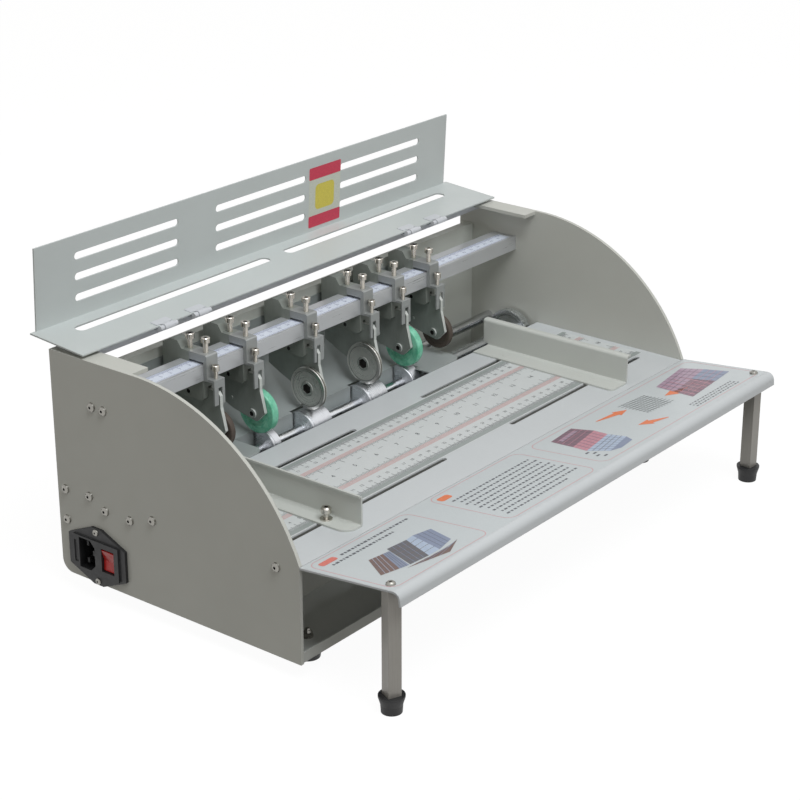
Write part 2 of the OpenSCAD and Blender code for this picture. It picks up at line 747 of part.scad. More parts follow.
// Motor on an angle bracket on the pan
module drive_motor() {
    x0 = belt_x + belt_w / 2 + 9;
    color(ZINC) placed() difference() {
        union() {
            rod_x(x0 + 2, motor_y, motor_z, 23, 52);
            rod_x(x0 + 54, motor_y, motor_z, 8, 4);
            rod_x(x0 - 3, motor_y, motor_z, 9, 5);
            translate([x0, motor_y - 25, pan_top]) cube([2, 50, motor_z + 22 - pan_top]);
            translate([x0, motor_y - 25, pan_top]) cube([56, 50, 2]);
        }
        rod_x(x0 - 4, motor_y, motor_z, 3 + run_gap, 16);
    }
}

// Toothless flanged pulley rim
module pulley(x, y, z, r, bore) {
    w = belt_w + 2 * seat_gap;
    turned_x(x - w / 2 - 1, y, z) polygon([[bore, 0], [r + 2.4, 0], [r + 2.4, 1], [r, 1], [r, w + 1],
        [r + 2.4, w + 1], [r + 2.4, w + 2], [bore, w + 2]]);
}

module motor_pulley() {
    color(STEEL) placed() {
        pulley(belt_x, motor_y, motor_z, motor_pulley_r, 2);
        rod_x(belt_x - belt_w / 2 - 3, motor_y, motor_z, 3, 25);
    }
}

// Closed loop round two circles, as an outline on the Y-Z plane
module loop(r1, r2) {
    d = [shaft_y - motor_y, shaft_z - motor_z];
    dist = norm(d);
    a = atan2(d[1], d[0]);
    b = acos((r1 - r2) / dist);
    m = [motor_y, motor_z];
    s = [shaft_y, shaft_z];
    translate(m) circle(r1);
    translate(s) circle(r2);
    polygon([m + r1 * [cos(a + b), sin(a + b)], s + r2 * [cos(a + b), sin(a + b)],
        s + r2 * [cos(a - b), sin(a - b)], m + r1 * [cos(a - b), sin(a - b)]]);
}

module drive_belt() {
    color(BLACK) placed() prism_x(belt_x - belt_w / 2, belt_w) difference() {
        loop(motor_pulley_r + run_gap + belt_t, pulley_r + run_gap + belt_t);
        loop(motor_pulley_r + run_gap, pulley_r + run_gap);
    }
}

module shaft_pulley() {
    color(STEEL) placed() pulley(belt_x, shaft_y, shaft_z, pulley_r, shaft_d / 2);
}

module feed_shaft() {
    color(STEEL) placed() rod_x(-in_x + 1, shaft_y, shaft_z, shaft_d / 2, 2 * in_x + plate_t - 1.5);
}

// Rollers with chamfered rims and a clamping groove near the left rim
module feed_rollers() {
    r = roller_d / 2;
    color(STEEL) placed() for (k = rollers)
        turned_x(head_xs[k[0]] + k[1], shaft_y, shaft_z) polygon([[shaft_d / 2, 0], [r - 0.6, 0],
            [r, 0.6], [r, 1.6], [r - 0.5, 1.6], [r - 0.5, 2.2], [r, 2.2], [r, k[2] - 0.6],
            [r - 0.6, k[2]], [shaft_d / 2, k[2]]]);
}

// Hand wheel with a knurled rim
module hand_wheel() {
    r = hand_wheel_d / 2;
    n = 36;
    x1 = in_x - bearing_t - 0.6;
    color(ZINC) placed() difference() {
        prism_x(x1 - hand_wheel_t, hand_wheel_t) translate([shaft_y, shaft_z])
            polygon([for (i = [0:2 * n - 1]) (r - (i % 2) * 0.9) * [cos(i * 180 / n), sin(i * 180 / n)]]);
        rod_x(0, shaft_y, shaft_z, shaft_d / 2, half_w);
        turned_x(x1 - hand_wheel_t - 1, shaft_y, shaft_z)
            polygon([[shaft_d / 2 + 4, 0], [r - 4, 0], [r - 4, 2.5], [shaft_d / 2 + 4, 2.5]]);
    }
}

// Quarter of a bend in the first quadrant, outer radius r
module bend(r, t) {
    intersection() {
        difference() {
            circle(r);
            circle(r - t);
        }
        square(r);
    }
}

// Fence at x with its base flange toward -X, a bent top lip and a notched rear foot
module fence(x, base_w, lip, corner) {
    t = sheet_t;
    r = t + 1;
    s = sign(lip);
    y0 = 7;
    y1 = table_d + 3.6;
    foot_y = table_d - 1;
    left = -t / 2 - base_w;
    translate([x, 0, table_z]) difference() {
        translate([0, y1, 0]) rotate([90, 0, 0]) linear_extrude(y1 - y0) {
            translate([left, 0]) square([t / 2 - r - left, t]);
            translate([t / 2 - r, r]) rotate(-90) bend(r, t);
            translate([-t / 2, r]) square([t, fence_h - 2 * r]);
            mirror([s < 0 ? 1 : 0, 0]) {
                translate([r - t / 2, fence_h - r]) rotate(90) bend(r, t);
                translate([r - t / 2, fence_h - t]) square([abs(lip) - r + t / 2, t]);
            }
        }
        translate([left - 1, foot_y, -1]) cube([base_w + t + 2, y1, 4]);
        translate([left, y0, -1]) linear_extrude(t + 2) difference() {
            translate([-1, -1]) square([corner + 1, corner + 1]);
            translate([corner, corner]) circle(corner);
        }
        for (y = [front_slot_y, rear_slot_y]) translate([-t / 2 - base_w / 2, y, -1])
            cylinder(r = tap_r, h = t + 2);
    }
}

module left_fence() {
    color(PAINT) placed() fence(left_fence_x, left_base_w, -2.8, 10);
}

module right_fence() {
    color(PAINT) placed() fence(right_fence_x, right_base_w, 5, 4);
}

// Front lock screw with its washer, and the rear guide stud, each with a nut below the table
module fence_locks(x, base_w) {
    lock_x = x - sheet_t / 2 - base_w / 2;
    top = table_z + sheet_t;
    nut_z = table_under - 3 - seat_gap;
    for (y = [front_slot_y, rear_slot_y]) translate([lock_x, y, 0]) {
        translate([0, 0, nut_z]) cylinder(r = 3.9, h = 3, $fn = 6);
        translate([0, 0, nut_z]) cylinder(r = screw_r, h = top + 1 - nut_z);
    }
    translate([lock_x, front_slot_y, top]) {
        cylinder(r = 4.6, h = 1);
        cylinder(r = screw_r, h = 6);
        translate([0, 0, 5]) difference() {
            rotate_extrude() polygon([[0, 0], [3.6, 0], [3.9, 0.4], [3.9, 3.6], [3, 4.8], [0, 4.8]]);
            translate([0, 0, 2.6]) cylinder(r = 1.7, h = 5, $fn = 6);
        }
    }
    translate([lock_x, rear_slot_y, top]) rotate_extrude()
        polygon([[0, 0], [3.6, 0], [3.4, 1], [2.4, 1.8], [0, 2]]);
}

module left_fence_locks() {
    color(STEEL) placed() fence_locks(left_fence_x, left_base_w);
}

module right_fence_locks() {
    color(STEEL) placed() fence_locks(right_fence_x, right_base_w);
}

// Places a head's pieces, mirrored for the heads with the wheel on the left
module at_head(i) {
    placed() translate([head_xs[i], 0, 0]) mirror([hands[i] > 0 ? 0 : 1, 0, 0]) children();
}

// C-shaped block round the bar's rear, with the arm's slot and the pivot bore
module head_block() {
    w = block_w / 2;
    y1 = bar_y1 + 17.8;
    z0 = pivot_z - 4.3;
    g = run_gap;
    color(DARK) difference() {
        prism_x(-w, block_w) difference() {
            polygon([[bar_y0 + 0.5, z0 + 2], [bar_y0 + 2.5, z0], [y1 - 1, z0], [y1, z0 + 1],
                [y1, bar_z1 + 9.5], [y1 - 8, bar_z1 + 14], [bar_y0 + 26, bar_z1 + 13.6],
                [bar_y0 + 22, bar_z1 + 8], [jaw_y, bar_z1 + 8], [jaw_y, bar_z1 + g],
                [bar_y1 + g, bar_z1 + g], [bar_y1 + g, bar_z0 - g], [bar_y0 + 0.5, bar_z0 - g]]);
            translate([pivot_y, pivot_z]) circle(pivot_d / 2 + g);
        }
        translate([arm_x0 - seat_gap, bar_y0 - 5, z0 - 1])
            cube([arm_t + 2 * seat_gap, bar_d + 30, arm_top - z0 + 3.5]);
        translate([-3.5 - g, jaw_y - 1, bar_z1 + 2.5 - g]) cube([7 + 2 * g, 9 + g, 3 + 2 * g]);
        translate([0, clamp_ys[1], bar_z1 - 1]) cylinder(r = tap_r, h = 30);
    }
}

// Strap over the bar's front with its tenon, screw tab and slotted guide plate
module head_strap() {
    w = block_w / 2;
    tab_z = bar_z0 - 0.2;
    fork_z = tab_z - 18.2;
    fork_w = block_w - 0.8;
    color(ZINC) difference() {
        union() {
            prism_x(-w, block_w) polygon([[column_y0, tab_z], [column_y0, bar_z1 + 7],
                [column_y0 + 1, bar_z1 + 8], [jaw_y - seat_gap, bar_z1 + 8],
                [jaw_y - seat_gap, bar_z1 + 2], [bar_y0 - seat_gap, bar_z1 + 2],
                [bar_y0 - seat_gap, tab_z]]);
            translate([-3.5, jaw_y - 2, bar_z1 + 2.5]) cube([7, 10, 3]);
            translate([-fork_w / 2, fork_y0 + 0.1, tab_z])
                cube([fork_w, bar_y0 - seat_gap - fork_y0 - 0.1, 2]);
            translate([-fork_w / 2, fork_y0, fork_z]) cube([fork_w, fork_t, tab_z - fork_z + 1.8]);
        }
        translate([arm_x0 - 0.6, fork_y0 - 1, fork_z - 1])
            cube([arm_t + 1.2, fork_t + 2, tab_z - fork_z - 3.6]);
        translate([0, press_y, tab_z - 1]) cylinder(r = press_r + run_gap, h = 4);
        for (y = clamp_ys) translate([0, y, bar_z1 - 1]) cylinder(r = tap_r, h = 30);
    }
}

// Two clamping cap screws and the arm's pressure screw
module head_screws() {
    color(STEEL) {
        for (y = clamp_ys) translate([0, y, bar_z1 + 16])
            cap_screw(screw_r, 3.5, 4, 16 - run_gap);
        translate([0, press_y, bar_z0 + 7.9]) cap_screw(press_r, 2.9, 4.5, bar_z0 + 7.9 - press_tip);
    }
}

// Swinging arm with its pivot pin, a rivet and the wheel's axle bolt
module head_arm(wheel_t, head_out) {
    x1 = arm_x0 + arm_t;
    x2 = wheel_x0 + wheel_t + run_gap - (head_out ? 2.2 : 0);
    color(DARK) difference() {
        union() {
            prism_x(arm_x0, arm_t) {
                polygon([[axle_y - 12.5, axle_z + 2.5], [axle_y - 5, axle_z - 5.4],
                    [axle_y - 3, axle_z - 5.8], [axle_y + 20, axle_z - 1], [axle_y + 33, axle_z + 4.6],
                    [axle_y + 44.6, axle_z + 10.5], [axle_y + 44.6, arm_top - 3],
                    [axle_y + 41.6, arm_top], [nose_y + 2, arm_top], [nose_y, arm_top - 3],
                    [nose_y, arm_top - 12.5]]);
            }
            rod_x(-block_w / 2, pivot_y, pivot_z, pivot_d / 2, block_w);
            rod_x(arm_x0 - 0.6, axle_y + 21.5, axle_z + 8, 1.3, 1);
            rod_x(x1 - 0.1, axle_y, axle_z, axle_r + 1.6, wheel_x0 - x1 + 0.1 - run_gap);
            rod_x(arm_x0 - 1.5, axle_y, axle_z, 3.8, 1.6);
            rod_x(x1, axle_y, axle_z, axle_r, x2 - x1 + 0.1);
            rod_x(x2, axle_y, axle_z, head_out ? 5.8 : 4, head_out ? 2.6 : 1.4);
        }
        translate([-block_w / 2 - 1, pivot_y, pivot_z]) rotate([0, 90, 0])
            cylinder(r = 1.8, h = 3, $fn = 6);
        if (head_out)
            translate([x2 + 0.5, axle_y, axle_z]) rotate([0, 90, 0]) cylinder(r = 4.4, h = 4, $fn = 6);
        else
            translate([arm_x0 - 2, axle_y, axle_z]) rotate([0, 90, 0])
                cylinder(r = 2.2, h = 2, $fn = 6);
    }
}

// Polyurethane wheel with rounded shoulders on a recessed hub
module plain_wheel(r, w, rim) {
    b = axle_r + run_gap;
    turned_x(wheel_x0, axle_y, axle_z) polygon([[b, 0], [9, 0], [9, 0.6], [r - rim, 0.6],
        [r - rim + 0.6, 0], [r - 0.9, 0], [r - 0.25, 0.3], [r, 0.9], [r, w - 0.9], [r - 0.25, w - 0.3],
        [r - 0.9, w], [r - rim + 0.6, w], [r - rim, w - 0.8], [7.5, w - 0.8], [7.5, w], [b, w]]);
}

// Steel wheel with two creasing rims, a groove between them and its bolt's counterbore
module grooved_wheel(r, w) {
    b = axle_r + run_gap;
    turned_x(wheel_x0, axle_y, axle_z) polygon([[b, 0], [r - 2.4, 0], [r - 0.4, 0.5], [r, 0.9],
        [r, 1.3], [r - 2, w / 2 - 0.4], [r - 2, w / 2 + 0.4], [r, w - 1.3], [r, w - 0.9],
        [r - 0.4, w - 0.5], [r - 2.4, w], [6.2, w], [6.2, w - 2.2], [b, w - 2.2]]);
}

disc_t = 4.2;
small_wheel_w = 5;

module head_1_block() { at_head(0) head_block(); }
module head_1_strap() { at_head(0) head_strap(); }
module head_1_screws() { at_head(0) head_screws(); }
module head_1_arm() { at_head(0) head_arm(small_wheel_w, false); }
module head_1_wheel() { color(BROWN) at_head(0) plain_wheel(small_wheel_d / 2, small_wheel_w, 4); }
module head_2_block() { at_head(1) head_block(); }
module head_2_strap() { at_head(1) head_strap(); }
module head_2_screws() { at_head(1) head_screws(); }
module head_2_arm() { at_head(1) head_arm(wheel_w, false); }
module head_2_wheel() { color(GREEN) at_head(1) plain_wheel(wheel_d / 2, wheel_w, 6); }
module head_3_block() { at_head(2) head_block(); }
module head_3_strap() { at_head(2) head_strap(); }
module head_3_screws() { at_head(2) head_screws(); }
module head_3_arm() { at_head(2) head_arm(disc_t, true); }
module head_3_wheel() { color(STEEL) at_head(2) grooved_wheel(wheel_d / 2, disc_t); }
module head_4_block() { at_head(3) head_block(); }
module head_4_strap() { at_head(3) head_strap(); }
module head_4_screws() { at_head(3) head_screws(); }
module head_4_arm() { at_head(3) head_arm(disc_t, true); }
module head_4_wheel() { color(STEEL) at_head(3) grooved_wheel(wheel_d / 2, disc_t); }
module head_5_block() { at_head(4) head_block(); }
module head_5_strap() { at_head(4) head_strap(); }
module head_5_screws() { at_head(4) head_screws(); }
module head_5_arm() { at_head(4) head_arm(wheel_w, false); }
module head_5_wheel() { color(GREEN) at_head(4) plain_wheel(wheel_d / 2, wheel_w, 6); }
module head_6_block() { at_head(5) head_block(); }
module head_6_strap() { at_head(5) head_strap(); }
module head_6_screws() { at_head(5) head_screws(); }
module head_6_arm() { at_head(5) head_arm(small_wheel_w, false); }
module head_6_wheel() { color(BROWN) at_head(5) plain_wheel(small_wheel_d / 2, small_wheel_w, 4); }

left_side_plate();
right_side_plate();
base_pan();
rear_panel();
paper_chute();
frame_tie_rods();
feed_table();
front_shelf();
legs();
rubber_feet();
frame_screws();
cross_bar();
bearing_housings();
hinge_rail();
cover();
cover_hinge_leaves();
power_inlet();
rocker_switch();
drive_motor();
motor_pulley();
drive_belt();
shaft_pulley();
feed_shaft();
feed_rollers();
hand_wheel();
left_fence();
right_fence();
left_fence_locks();
right_fence_locks();
head_1_block();
head_1_strap();
head_1_screws();
head_1_arm();
head_1_wheel();
head_2_block();
head_2_strap();
head_2_screws();
head_2_arm();
head_2_wheel();
head_3_block();
head_3_strap();
head_3_screws();
head_3_arm();
head_3_wheel();
head_4_block();
head_4_strap();
head_4_screws();
head_4_arm();
head_4_wheel();
head_5_block();
head_5_strap();
head_5_screws();
head_5_arm();
head_5_wheel();
head_6_block();
head_6_strap();
head_6_screws();
head_6_arm();
head_6_wheel();
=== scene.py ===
# Desktop paper creasing machine: materials, prints, fine detail, light and camera.
# Blender works in metres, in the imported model's frame. Places given to at() and to a Print are in
# millimetres from the side plates' own zero.
import json
import math

import bmesh
import bpy
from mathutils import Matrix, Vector


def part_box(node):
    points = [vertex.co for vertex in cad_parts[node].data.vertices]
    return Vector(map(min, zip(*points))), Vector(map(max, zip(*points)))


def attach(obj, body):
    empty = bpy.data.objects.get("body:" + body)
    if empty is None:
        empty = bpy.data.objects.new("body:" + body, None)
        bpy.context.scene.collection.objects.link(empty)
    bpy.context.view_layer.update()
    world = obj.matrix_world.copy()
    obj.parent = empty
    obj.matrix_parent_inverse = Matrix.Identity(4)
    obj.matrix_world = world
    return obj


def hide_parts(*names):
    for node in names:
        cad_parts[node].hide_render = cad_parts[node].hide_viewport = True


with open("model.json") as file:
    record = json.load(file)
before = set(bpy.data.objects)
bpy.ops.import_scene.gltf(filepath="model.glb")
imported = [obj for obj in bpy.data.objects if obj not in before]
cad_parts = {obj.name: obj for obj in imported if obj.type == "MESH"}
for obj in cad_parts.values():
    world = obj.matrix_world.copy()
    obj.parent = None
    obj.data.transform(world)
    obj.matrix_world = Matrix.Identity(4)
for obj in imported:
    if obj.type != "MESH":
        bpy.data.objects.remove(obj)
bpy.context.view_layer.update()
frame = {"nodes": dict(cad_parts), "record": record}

MM = 0.001
INCH = 25.4
ORIGIN = (0.9, -84.264, 12.9)  # side plates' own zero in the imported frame, mm
HALF_W = 248.6  # half the width over the side plates
BAR_REACH = 240  # half the length of the printed rule on the bar

COVER_LOW = (201.9, 180.1)  # y and z of the front lower edge of the cover's top panel
COVER_PITCH = 4.3  # the top panel's rise to the back, degrees
COVER_BEND = 88.6  # from the top panel to the upright panel, degrees
COVER_TOP_D = 54.7  # depth of the top panel
COVER_SHEET = 1.2
COVER_TILT = math.radians(COVER_PITCH)
HINGE = (199.5, 180.0)  # y and z of the hinge axis
HINGE_XS = (-164.6, -128.6, 128.6, 164.6)

TABLE_TOP = 75.6
FENCE_SCREW_YS = (33.0, 122.0)
HEADS = ((-148.0, 1), (-104.2, 1), (-34.1, -1), (35.5, -1), (76.2, 1), (122.8, 1))  # x and hand
HEAD_IDS = range(1, 7)
# y and z of the side plates' screws
SIDE_SCREWS = ((184.0, 142.9), (195.8, 142.9), (229.0, 68.9), (229.0, 44.2), (162.35, 62.5),
               (187.65, 62.5), (139.4, 69.3), (203.8, 70.0), (20.8, 69.7))


def at(x, y, z):
    """A point given in millimetres from the side plates' zero, in metres."""
    return Vector(((x + ORIGIN[0]) * MM, (y + ORIGIN[1]) * MM, (z + ORIGIN[2]) * MM))


def srgb(r, g, b):
    """A colour as seen on screen, 0 to 255, as linear RGBA."""
    out = []
    for v in (r, g, b):
        v /= 255
        out.append(v / 12.92 if v <= 0.04045 else ((v + 0.055) / 1.055) ** 2.4)
    return (*out, 1.0)


def centre_yz(node):
    """Axis of a node that is round about X."""
    lo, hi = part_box(node)
    return (lo.y + hi.y) / 2, (lo.z + hi.z) / 2


COVER_EDGE = at(0, *COVER_LOW)


# ---------------------------------------------------------------- camera

CAMERA_AT = (-1.1890, -0.92376, 0.73177)
CAMERA_TURN = (67.870, -0.394, -52.540)  # degrees
FOCAL, SENSOR = 93.49, 36
SHIFT = (-0.05526, -0.01417)


def make_camera():
    """Camera fitted to the photograph's edges and screws."""
    data = bpy.data.cameras.new("camera")
    cam = bpy.data.objects.new("camera", data)
    bpy.context.scene.collection.objects.link(cam)
    cam.location = CAMERA_AT
    cam.rotation_euler = tuple(math.radians(a) for a in CAMERA_TURN)
    data.sensor_width, data.lens = SENSOR, FOCAL
    data.shift_x, data.shift_y = SHIFT
    data.clip_start, data.clip_end = 0.05, 50
    bpy.context.scene.camera = cam


make_camera()

# ---------------------------------------------------------------- materials


class Graph:
    """Builds one node material."""

    def __init__(self, name):
        self.mat = bpy.data.materials.new(name)
        self.mat.use_nodes = True
        self.tree = self.mat.node_tree
        self.tree.nodes.clear()

    def add(self, kind, inputs=None, **props):
        n = self.tree.nodes.new(kind)
        for k, v in props.items():
            setattr(n, k, v)
        for k, v in (inputs or {}).items():
            if isinstance(v, bpy.types.NodeSocket):
                self.tree.links.new(v, n.inputs[k])
            else:
                n.inputs[k].default_value = v
        return n

    def coords(self, scale=(1, 1, 1), rotation=(0, 0, 0)):
        tc = self.add("ShaderNodeTexCoord")
        return self.add("ShaderNodeMapping", {"Vector": tc.outputs["Object"], "Scale": scale,
                                              "Rotation": rotation}).outputs[0]

    def noise(self, vector, scale, detail=3.0, rough=0.55):
        return self.add("ShaderNodeTexNoise", {"Vector": vector, "Scale": scale, "Detail": detail,
                                               "Roughness": rough}).outputs["Fac"]

    def span(self, value, lo, hi, a=0.3, b=0.7):
        return self.add("ShaderNodeMapRange", {"Value": value, "From Min": a, "From Max": b,
                                               "To Min": lo, "To Max": hi}).outputs[0]

    def math(self, op, a, b=0.0):
        return self.add("ShaderNodeMath", {0: a, 1: b}, operation=op).outputs[0]

    def mix(self, fac, a, b, blend="MIX"):
        n = self.add("ShaderNodeMix", data_type="RGBA", blend_type=blend)
        for i, v in ((0, fac), (6, a), (7, b)):
            if isinstance(v, bpy.types.NodeSocket):
                self.tree.links.new(v, n.inputs[i])
            else:
                n.inputs[i].default_value = v
        return n.outputs[2]

    def finish(self, colour, rough, metal=0.0, height=None, strength=0.2, distance=0.0002,
               edge=0.0, **sockets):
        inputs = {"Base Color": colour, "Roughness": rough, "Metallic": metal}
        inputs.update({k.replace("_", " "): v for k, v in sockets.items()})
        normal = None
        if edge:
            normal = self.add("ShaderNodeBevel", {"Radius": edge}, samples=4).outputs[0]
        if height is not None:
            b = {"Height": height, "Strength": strength, "Distance": distance}
            if normal:
                b["Normal"] = normal
            normal = self.add("ShaderNodeBump", b).outputs[0]
        if normal:
            inputs["Normal"] = normal
        bsdf = self.add("ShaderNodeBsdfPrincipled", inputs)
        self.add("ShaderNodeOutputMaterial", {"Surface": bsdf.outputs[0]})
        return self.mat


def powder_coat(name, colour, rough=0.42, peel=1.0, edge=0.0005):
    """Powder coat: faint mottle, orange-peel bump, slightly uneven gloss."""
    g = Graph(name)
    v = g.coords()
    tone = g.span(g.noise(v, 9, 4), 0.972, 1.028)
    col = g.add("ShaderNodeHueSaturation", {"Color": colour, "Value": tone}).outputs[0]
    speck = g.span(g.noise(v, 2600, 2), 0.985, 1.015)
    col = g.add("ShaderNodeHueSaturation", {"Color": col, "Value": speck}).outputs[0]
    ro = g.span(g.noise(v, 60, 3), rough - 0.05, rough + 0.06)
    peel_h = g.math("ADD", g.noise(v, 900, 2), g.math("MULTIPLY", g.noise(v, 260, 2), 0.8))
    return g.finish(col, ro, 0.0, peel_h, 0.10 * peel, 0.00012, edge)


def metal(name, colour, rough=0.3, grain=(1, 40, 40), grain_scale=45, depth=0.12, edge=0.0003,
          metallic=1.0, mottle=0.06, spread=0.10):
    """Metal with drawn or ground grain; grain stretches the noise along an axis."""
    g = Graph(name)
    v = g.coords(grain)
    streak = g.noise(v, grain_scale, 4, 0.6)
    cloud = g.noise(g.coords(), 28, 3)
    tone = g.math("ADD", g.span(streak, -mottle, mottle), g.span(cloud, 1 - mottle, 1 + mottle))
    col = g.add("ShaderNodeHueSaturation", {"Color": colour, "Value": tone}).outputs[0]
    ro = g.math("ADD", g.span(streak, -spread, spread), g.span(cloud, rough - 0.03, rough + 0.05))
    ro = g.add("ShaderNodeClamp", {"Value": ro, "Min": 0.06, "Max": 0.95}).outputs[0]
    return g.finish(col, ro, metallic, streak, depth, 0.00010, edge)


def moulded(name, colour, rough=0.5, grain_scale=1500, depth=0.18, edge=0.0004):
    """Moulded plastic or rubber: even colour, fine grain, worn gloss."""
    g = Graph(name)
    v = g.coords()
    tone = g.span(g.noise(v, 40, 3), 0.93, 1.07)
    col = g.add("ShaderNodeHueSaturation", {"Color": colour, "Value": tone}).outputs[0]
    ro = g.span(g.noise(v, 120, 3), rough - 0.08, rough + 0.08)
    return g.finish(col, ro, 0.0, g.noise(v, grain_scale, 2), depth, 0.0001, edge)


PAINT = powder_coat("paint_grey", srgb(195, 201, 200))
PAINT_PLATE = powder_coat("paint_plates", srgb(194, 195, 188))
PAINT_PAN = powder_coat("paint_pan", srgb(188, 190, 185), 0.5)
# the pan's paint made lighter for the rear panel: painted light on a panel that stands in shade
PAINT_BACK_LIGHTENED = powder_coat("paint_back_painted_light", srgb(212, 215, 208), 0.5)
PAINT_HINGE = powder_coat("paint_hinges", srgb(204, 207, 212), 0.34)
TABLE = powder_coat("paint_table", srgb(198, 202, 204), 0.36, 0.7)
FENCE = powder_coat("paint_fence", srgb(196, 199, 194))
CHUTE = metal("bright_sheet", srgb(166, 172, 171), 0.42, (40, 1, 1), 30, 0.03, 0.0003, 0.25,
              0.02, 0.04)
BAR = metal("bar_steel", srgb(198, 200, 202), 0.36, (1, 40, 40), 24, 0.015, 0.0005, 0.5, 0.015)
SHAFT = metal("ground_steel", srgb(214, 214, 216), 0.18, (60, 1, 1), 30, 0.06, 0.0003)
BRIGHT_SCREW = metal("bright_screws", srgb(150, 148, 142), 0.30, (1, 1, 1), 120, 0.05, 0.0002)
ZINC = metal("zinc_plate", srgb(176, 176, 176), 0.42, (1, 1, 1), 90, 0.10, 0.0003, 0.7)
STRAP = metal("strap_steel", srgb(156, 159, 158), 0.44, (1, 14, 14), 60, 0.08, 0.0003, 0.45)
BLOCK = metal("block_black_oxide", srgb(130, 135, 129), 0.46, (1, 3, 1), 120, 0.10, 0.0003, 0.15)
LEG = metal("leg_steel", srgb(148, 145, 139), 0.40, (60, 60, 1), 24, 0.10, 0.0004, 0.35)
BEARING = metal("bearing_zinc", srgb(178, 180, 180), 0.38, (1, 1, 1), 70, 0.10, 0.0003, 0.8)
MOTOR = metal("motor_can", srgb(150, 150, 150), 0.36, (1, 1, 1), 60, 0.06, 0.0003, 0.8)
BLACK = moulded("black_plastic", srgb(24, 24, 25), 0.5)
# painted shade: near-black for the shade inside screw sockets and holes
SOCKET = moulded("socket_shade", srgb(26, 24, 22), 0.6, 900, 0.1, 0.0)
BELT = moulded("belt_rubber", srgb(34, 34, 34), 0.7)
RUBBER = moulded("black_rubber", srgb(30, 30, 31), 0.55, 700, 0.25)
RED = moulded("red_rocker", srgb(200, 34, 30), 0.3)
BROWN = moulded("brown_rubber", srgb(72, 62, 54), 0.6, 500, 0.35)


def cut_plate(name, face, edge_colour):
    """Dark plate steel with paler, rougher cut edges; the plates lie across X."""
    g = Graph(name)
    v = g.coords((1, 8, 3))
    streak = g.noise(v, 50, 4, 0.6)
    cloud = g.noise(g.coords(), 34, 4)
    normal = g.add("ShaderNodeNewGeometry").outputs["Normal"]
    across = g.math("ABSOLUTE", g.add("ShaderNodeSeparateXYZ", {0: normal}).outputs[0])
    rim = g.span(across, 1.0, 0.0, 0.35, 0.75)
    tone = g.math("ADD", g.span(streak, -0.06, 0.06), g.span(cloud, 0.90, 1.10))
    col = g.mix(rim, face, edge_colour)
    col = g.add("ShaderNodeHueSaturation", {"Color": col, "Value": tone}).outputs[0]
    ro = g.math("ADD", g.span(streak, -0.08, 0.08), g.span(rim, 0.44, 0.52, 0.0, 1.0))
    cut = g.noise(g.coords((900, 900, 40)), 1.0, 2)
    height = g.math("ADD", streak, g.math("MULTIPLY", cut, rim))
    return g.finish(col, ro, 0.2, height, 0.12, 0.0001, 0.0003)


ARM = cut_plate("arm_dark_steel", srgb(134, 140, 135), srgb(196, 200, 196))


def threaded(name, colour, levels, pitch=0.0007):
    """Nickel cap screws: fluted heads, thread rings on the shanks below each head level, as bump and as
    bands of painted shade.
    """
    g = Graph(name)
    tc = g.add("ShaderNodeTexCoord").outputs["Object"]
    xyz = g.add("ShaderNodeSeparateXYZ", {0: tc})
    ring = g.math("SINE", g.math("MULTIPLY", xyz.outputs[2], 2 * math.pi / pitch))
    head = None
    for lo, hi in levels:
        band = g.math("MULTIPLY", g.math("GREATER_THAN", xyz.outputs[2], lo),
                      g.math("LESS_THAN", xyz.outputs[2], hi))
        head = band if head is None else g.math("MAXIMUM", head, band)
    shank = g.math("SUBTRACT", 1.0, head)
    cloud = g.noise(tc, 70, 3)
    # painted shade: on the shanks the thread's grooves are darker, its crests lighter
    tone = g.math("MULTIPLY", g.span(cloud, 0.94, 1.06),
                  g.math("ADD", 1.0, g.math("MULTIPLY", shank, g.math("MULTIPLY", ring, 0.10))))
    col = g.add("ShaderNodeHueSaturation", {"Color": colour, "Value": tone}).outputs[0]
    ro = g.span(cloud, 0.18, 0.27)
    return g.finish(col, ro, 1.0, g.math("MULTIPLY", ring, shank), 0.35, 0.00008, 0.0002)


bar_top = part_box("cross_bar")[1].z
bar_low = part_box("cross_bar")[0].z
CLAMP_HEADS = (bar_top + 0.016, bar_top + 0.021)  # heights that the screws' heads take up
PRESSURE_HEAD = (bar_low + 0.0079, bar_low + 0.0126)
CAP = threaded("cap_screws", srgb(208, 202, 192), (CLAMP_HEADS, PRESSURE_HEAD))
NICKEL = metal("nickel_screws", srgb(204, 200, 192), 0.22, (1, 1, 30), 60, 0.05, 0.0002)


def polyurethane():
    """Cast green polyurethane: cloudy, waxy, a little light inside."""
    g = Graph("green_polyurethane")
    v = g.coords()
    cloud = g.noise(v, 130, 4)
    col = g.mix(g.span(cloud, 0.0, 1.0), srgb(92, 178, 144), srgb(140, 212, 184))
    ro = g.span(g.noise(v, 300, 3), 0.22, 0.36)
    return g.finish(col, ro, 0.0, g.noise(v, 420, 3), 0.16, 0.0002, 0.0004,
                    Subsurface_Weight=0.25, Subsurface_Scale=0.003,
                    Subsurface_Radius=(0.4, 1.0, 0.8))


GREEN = polyurethane()


KNURL_R, KNURL_PITCH = 0.015, 0.0013


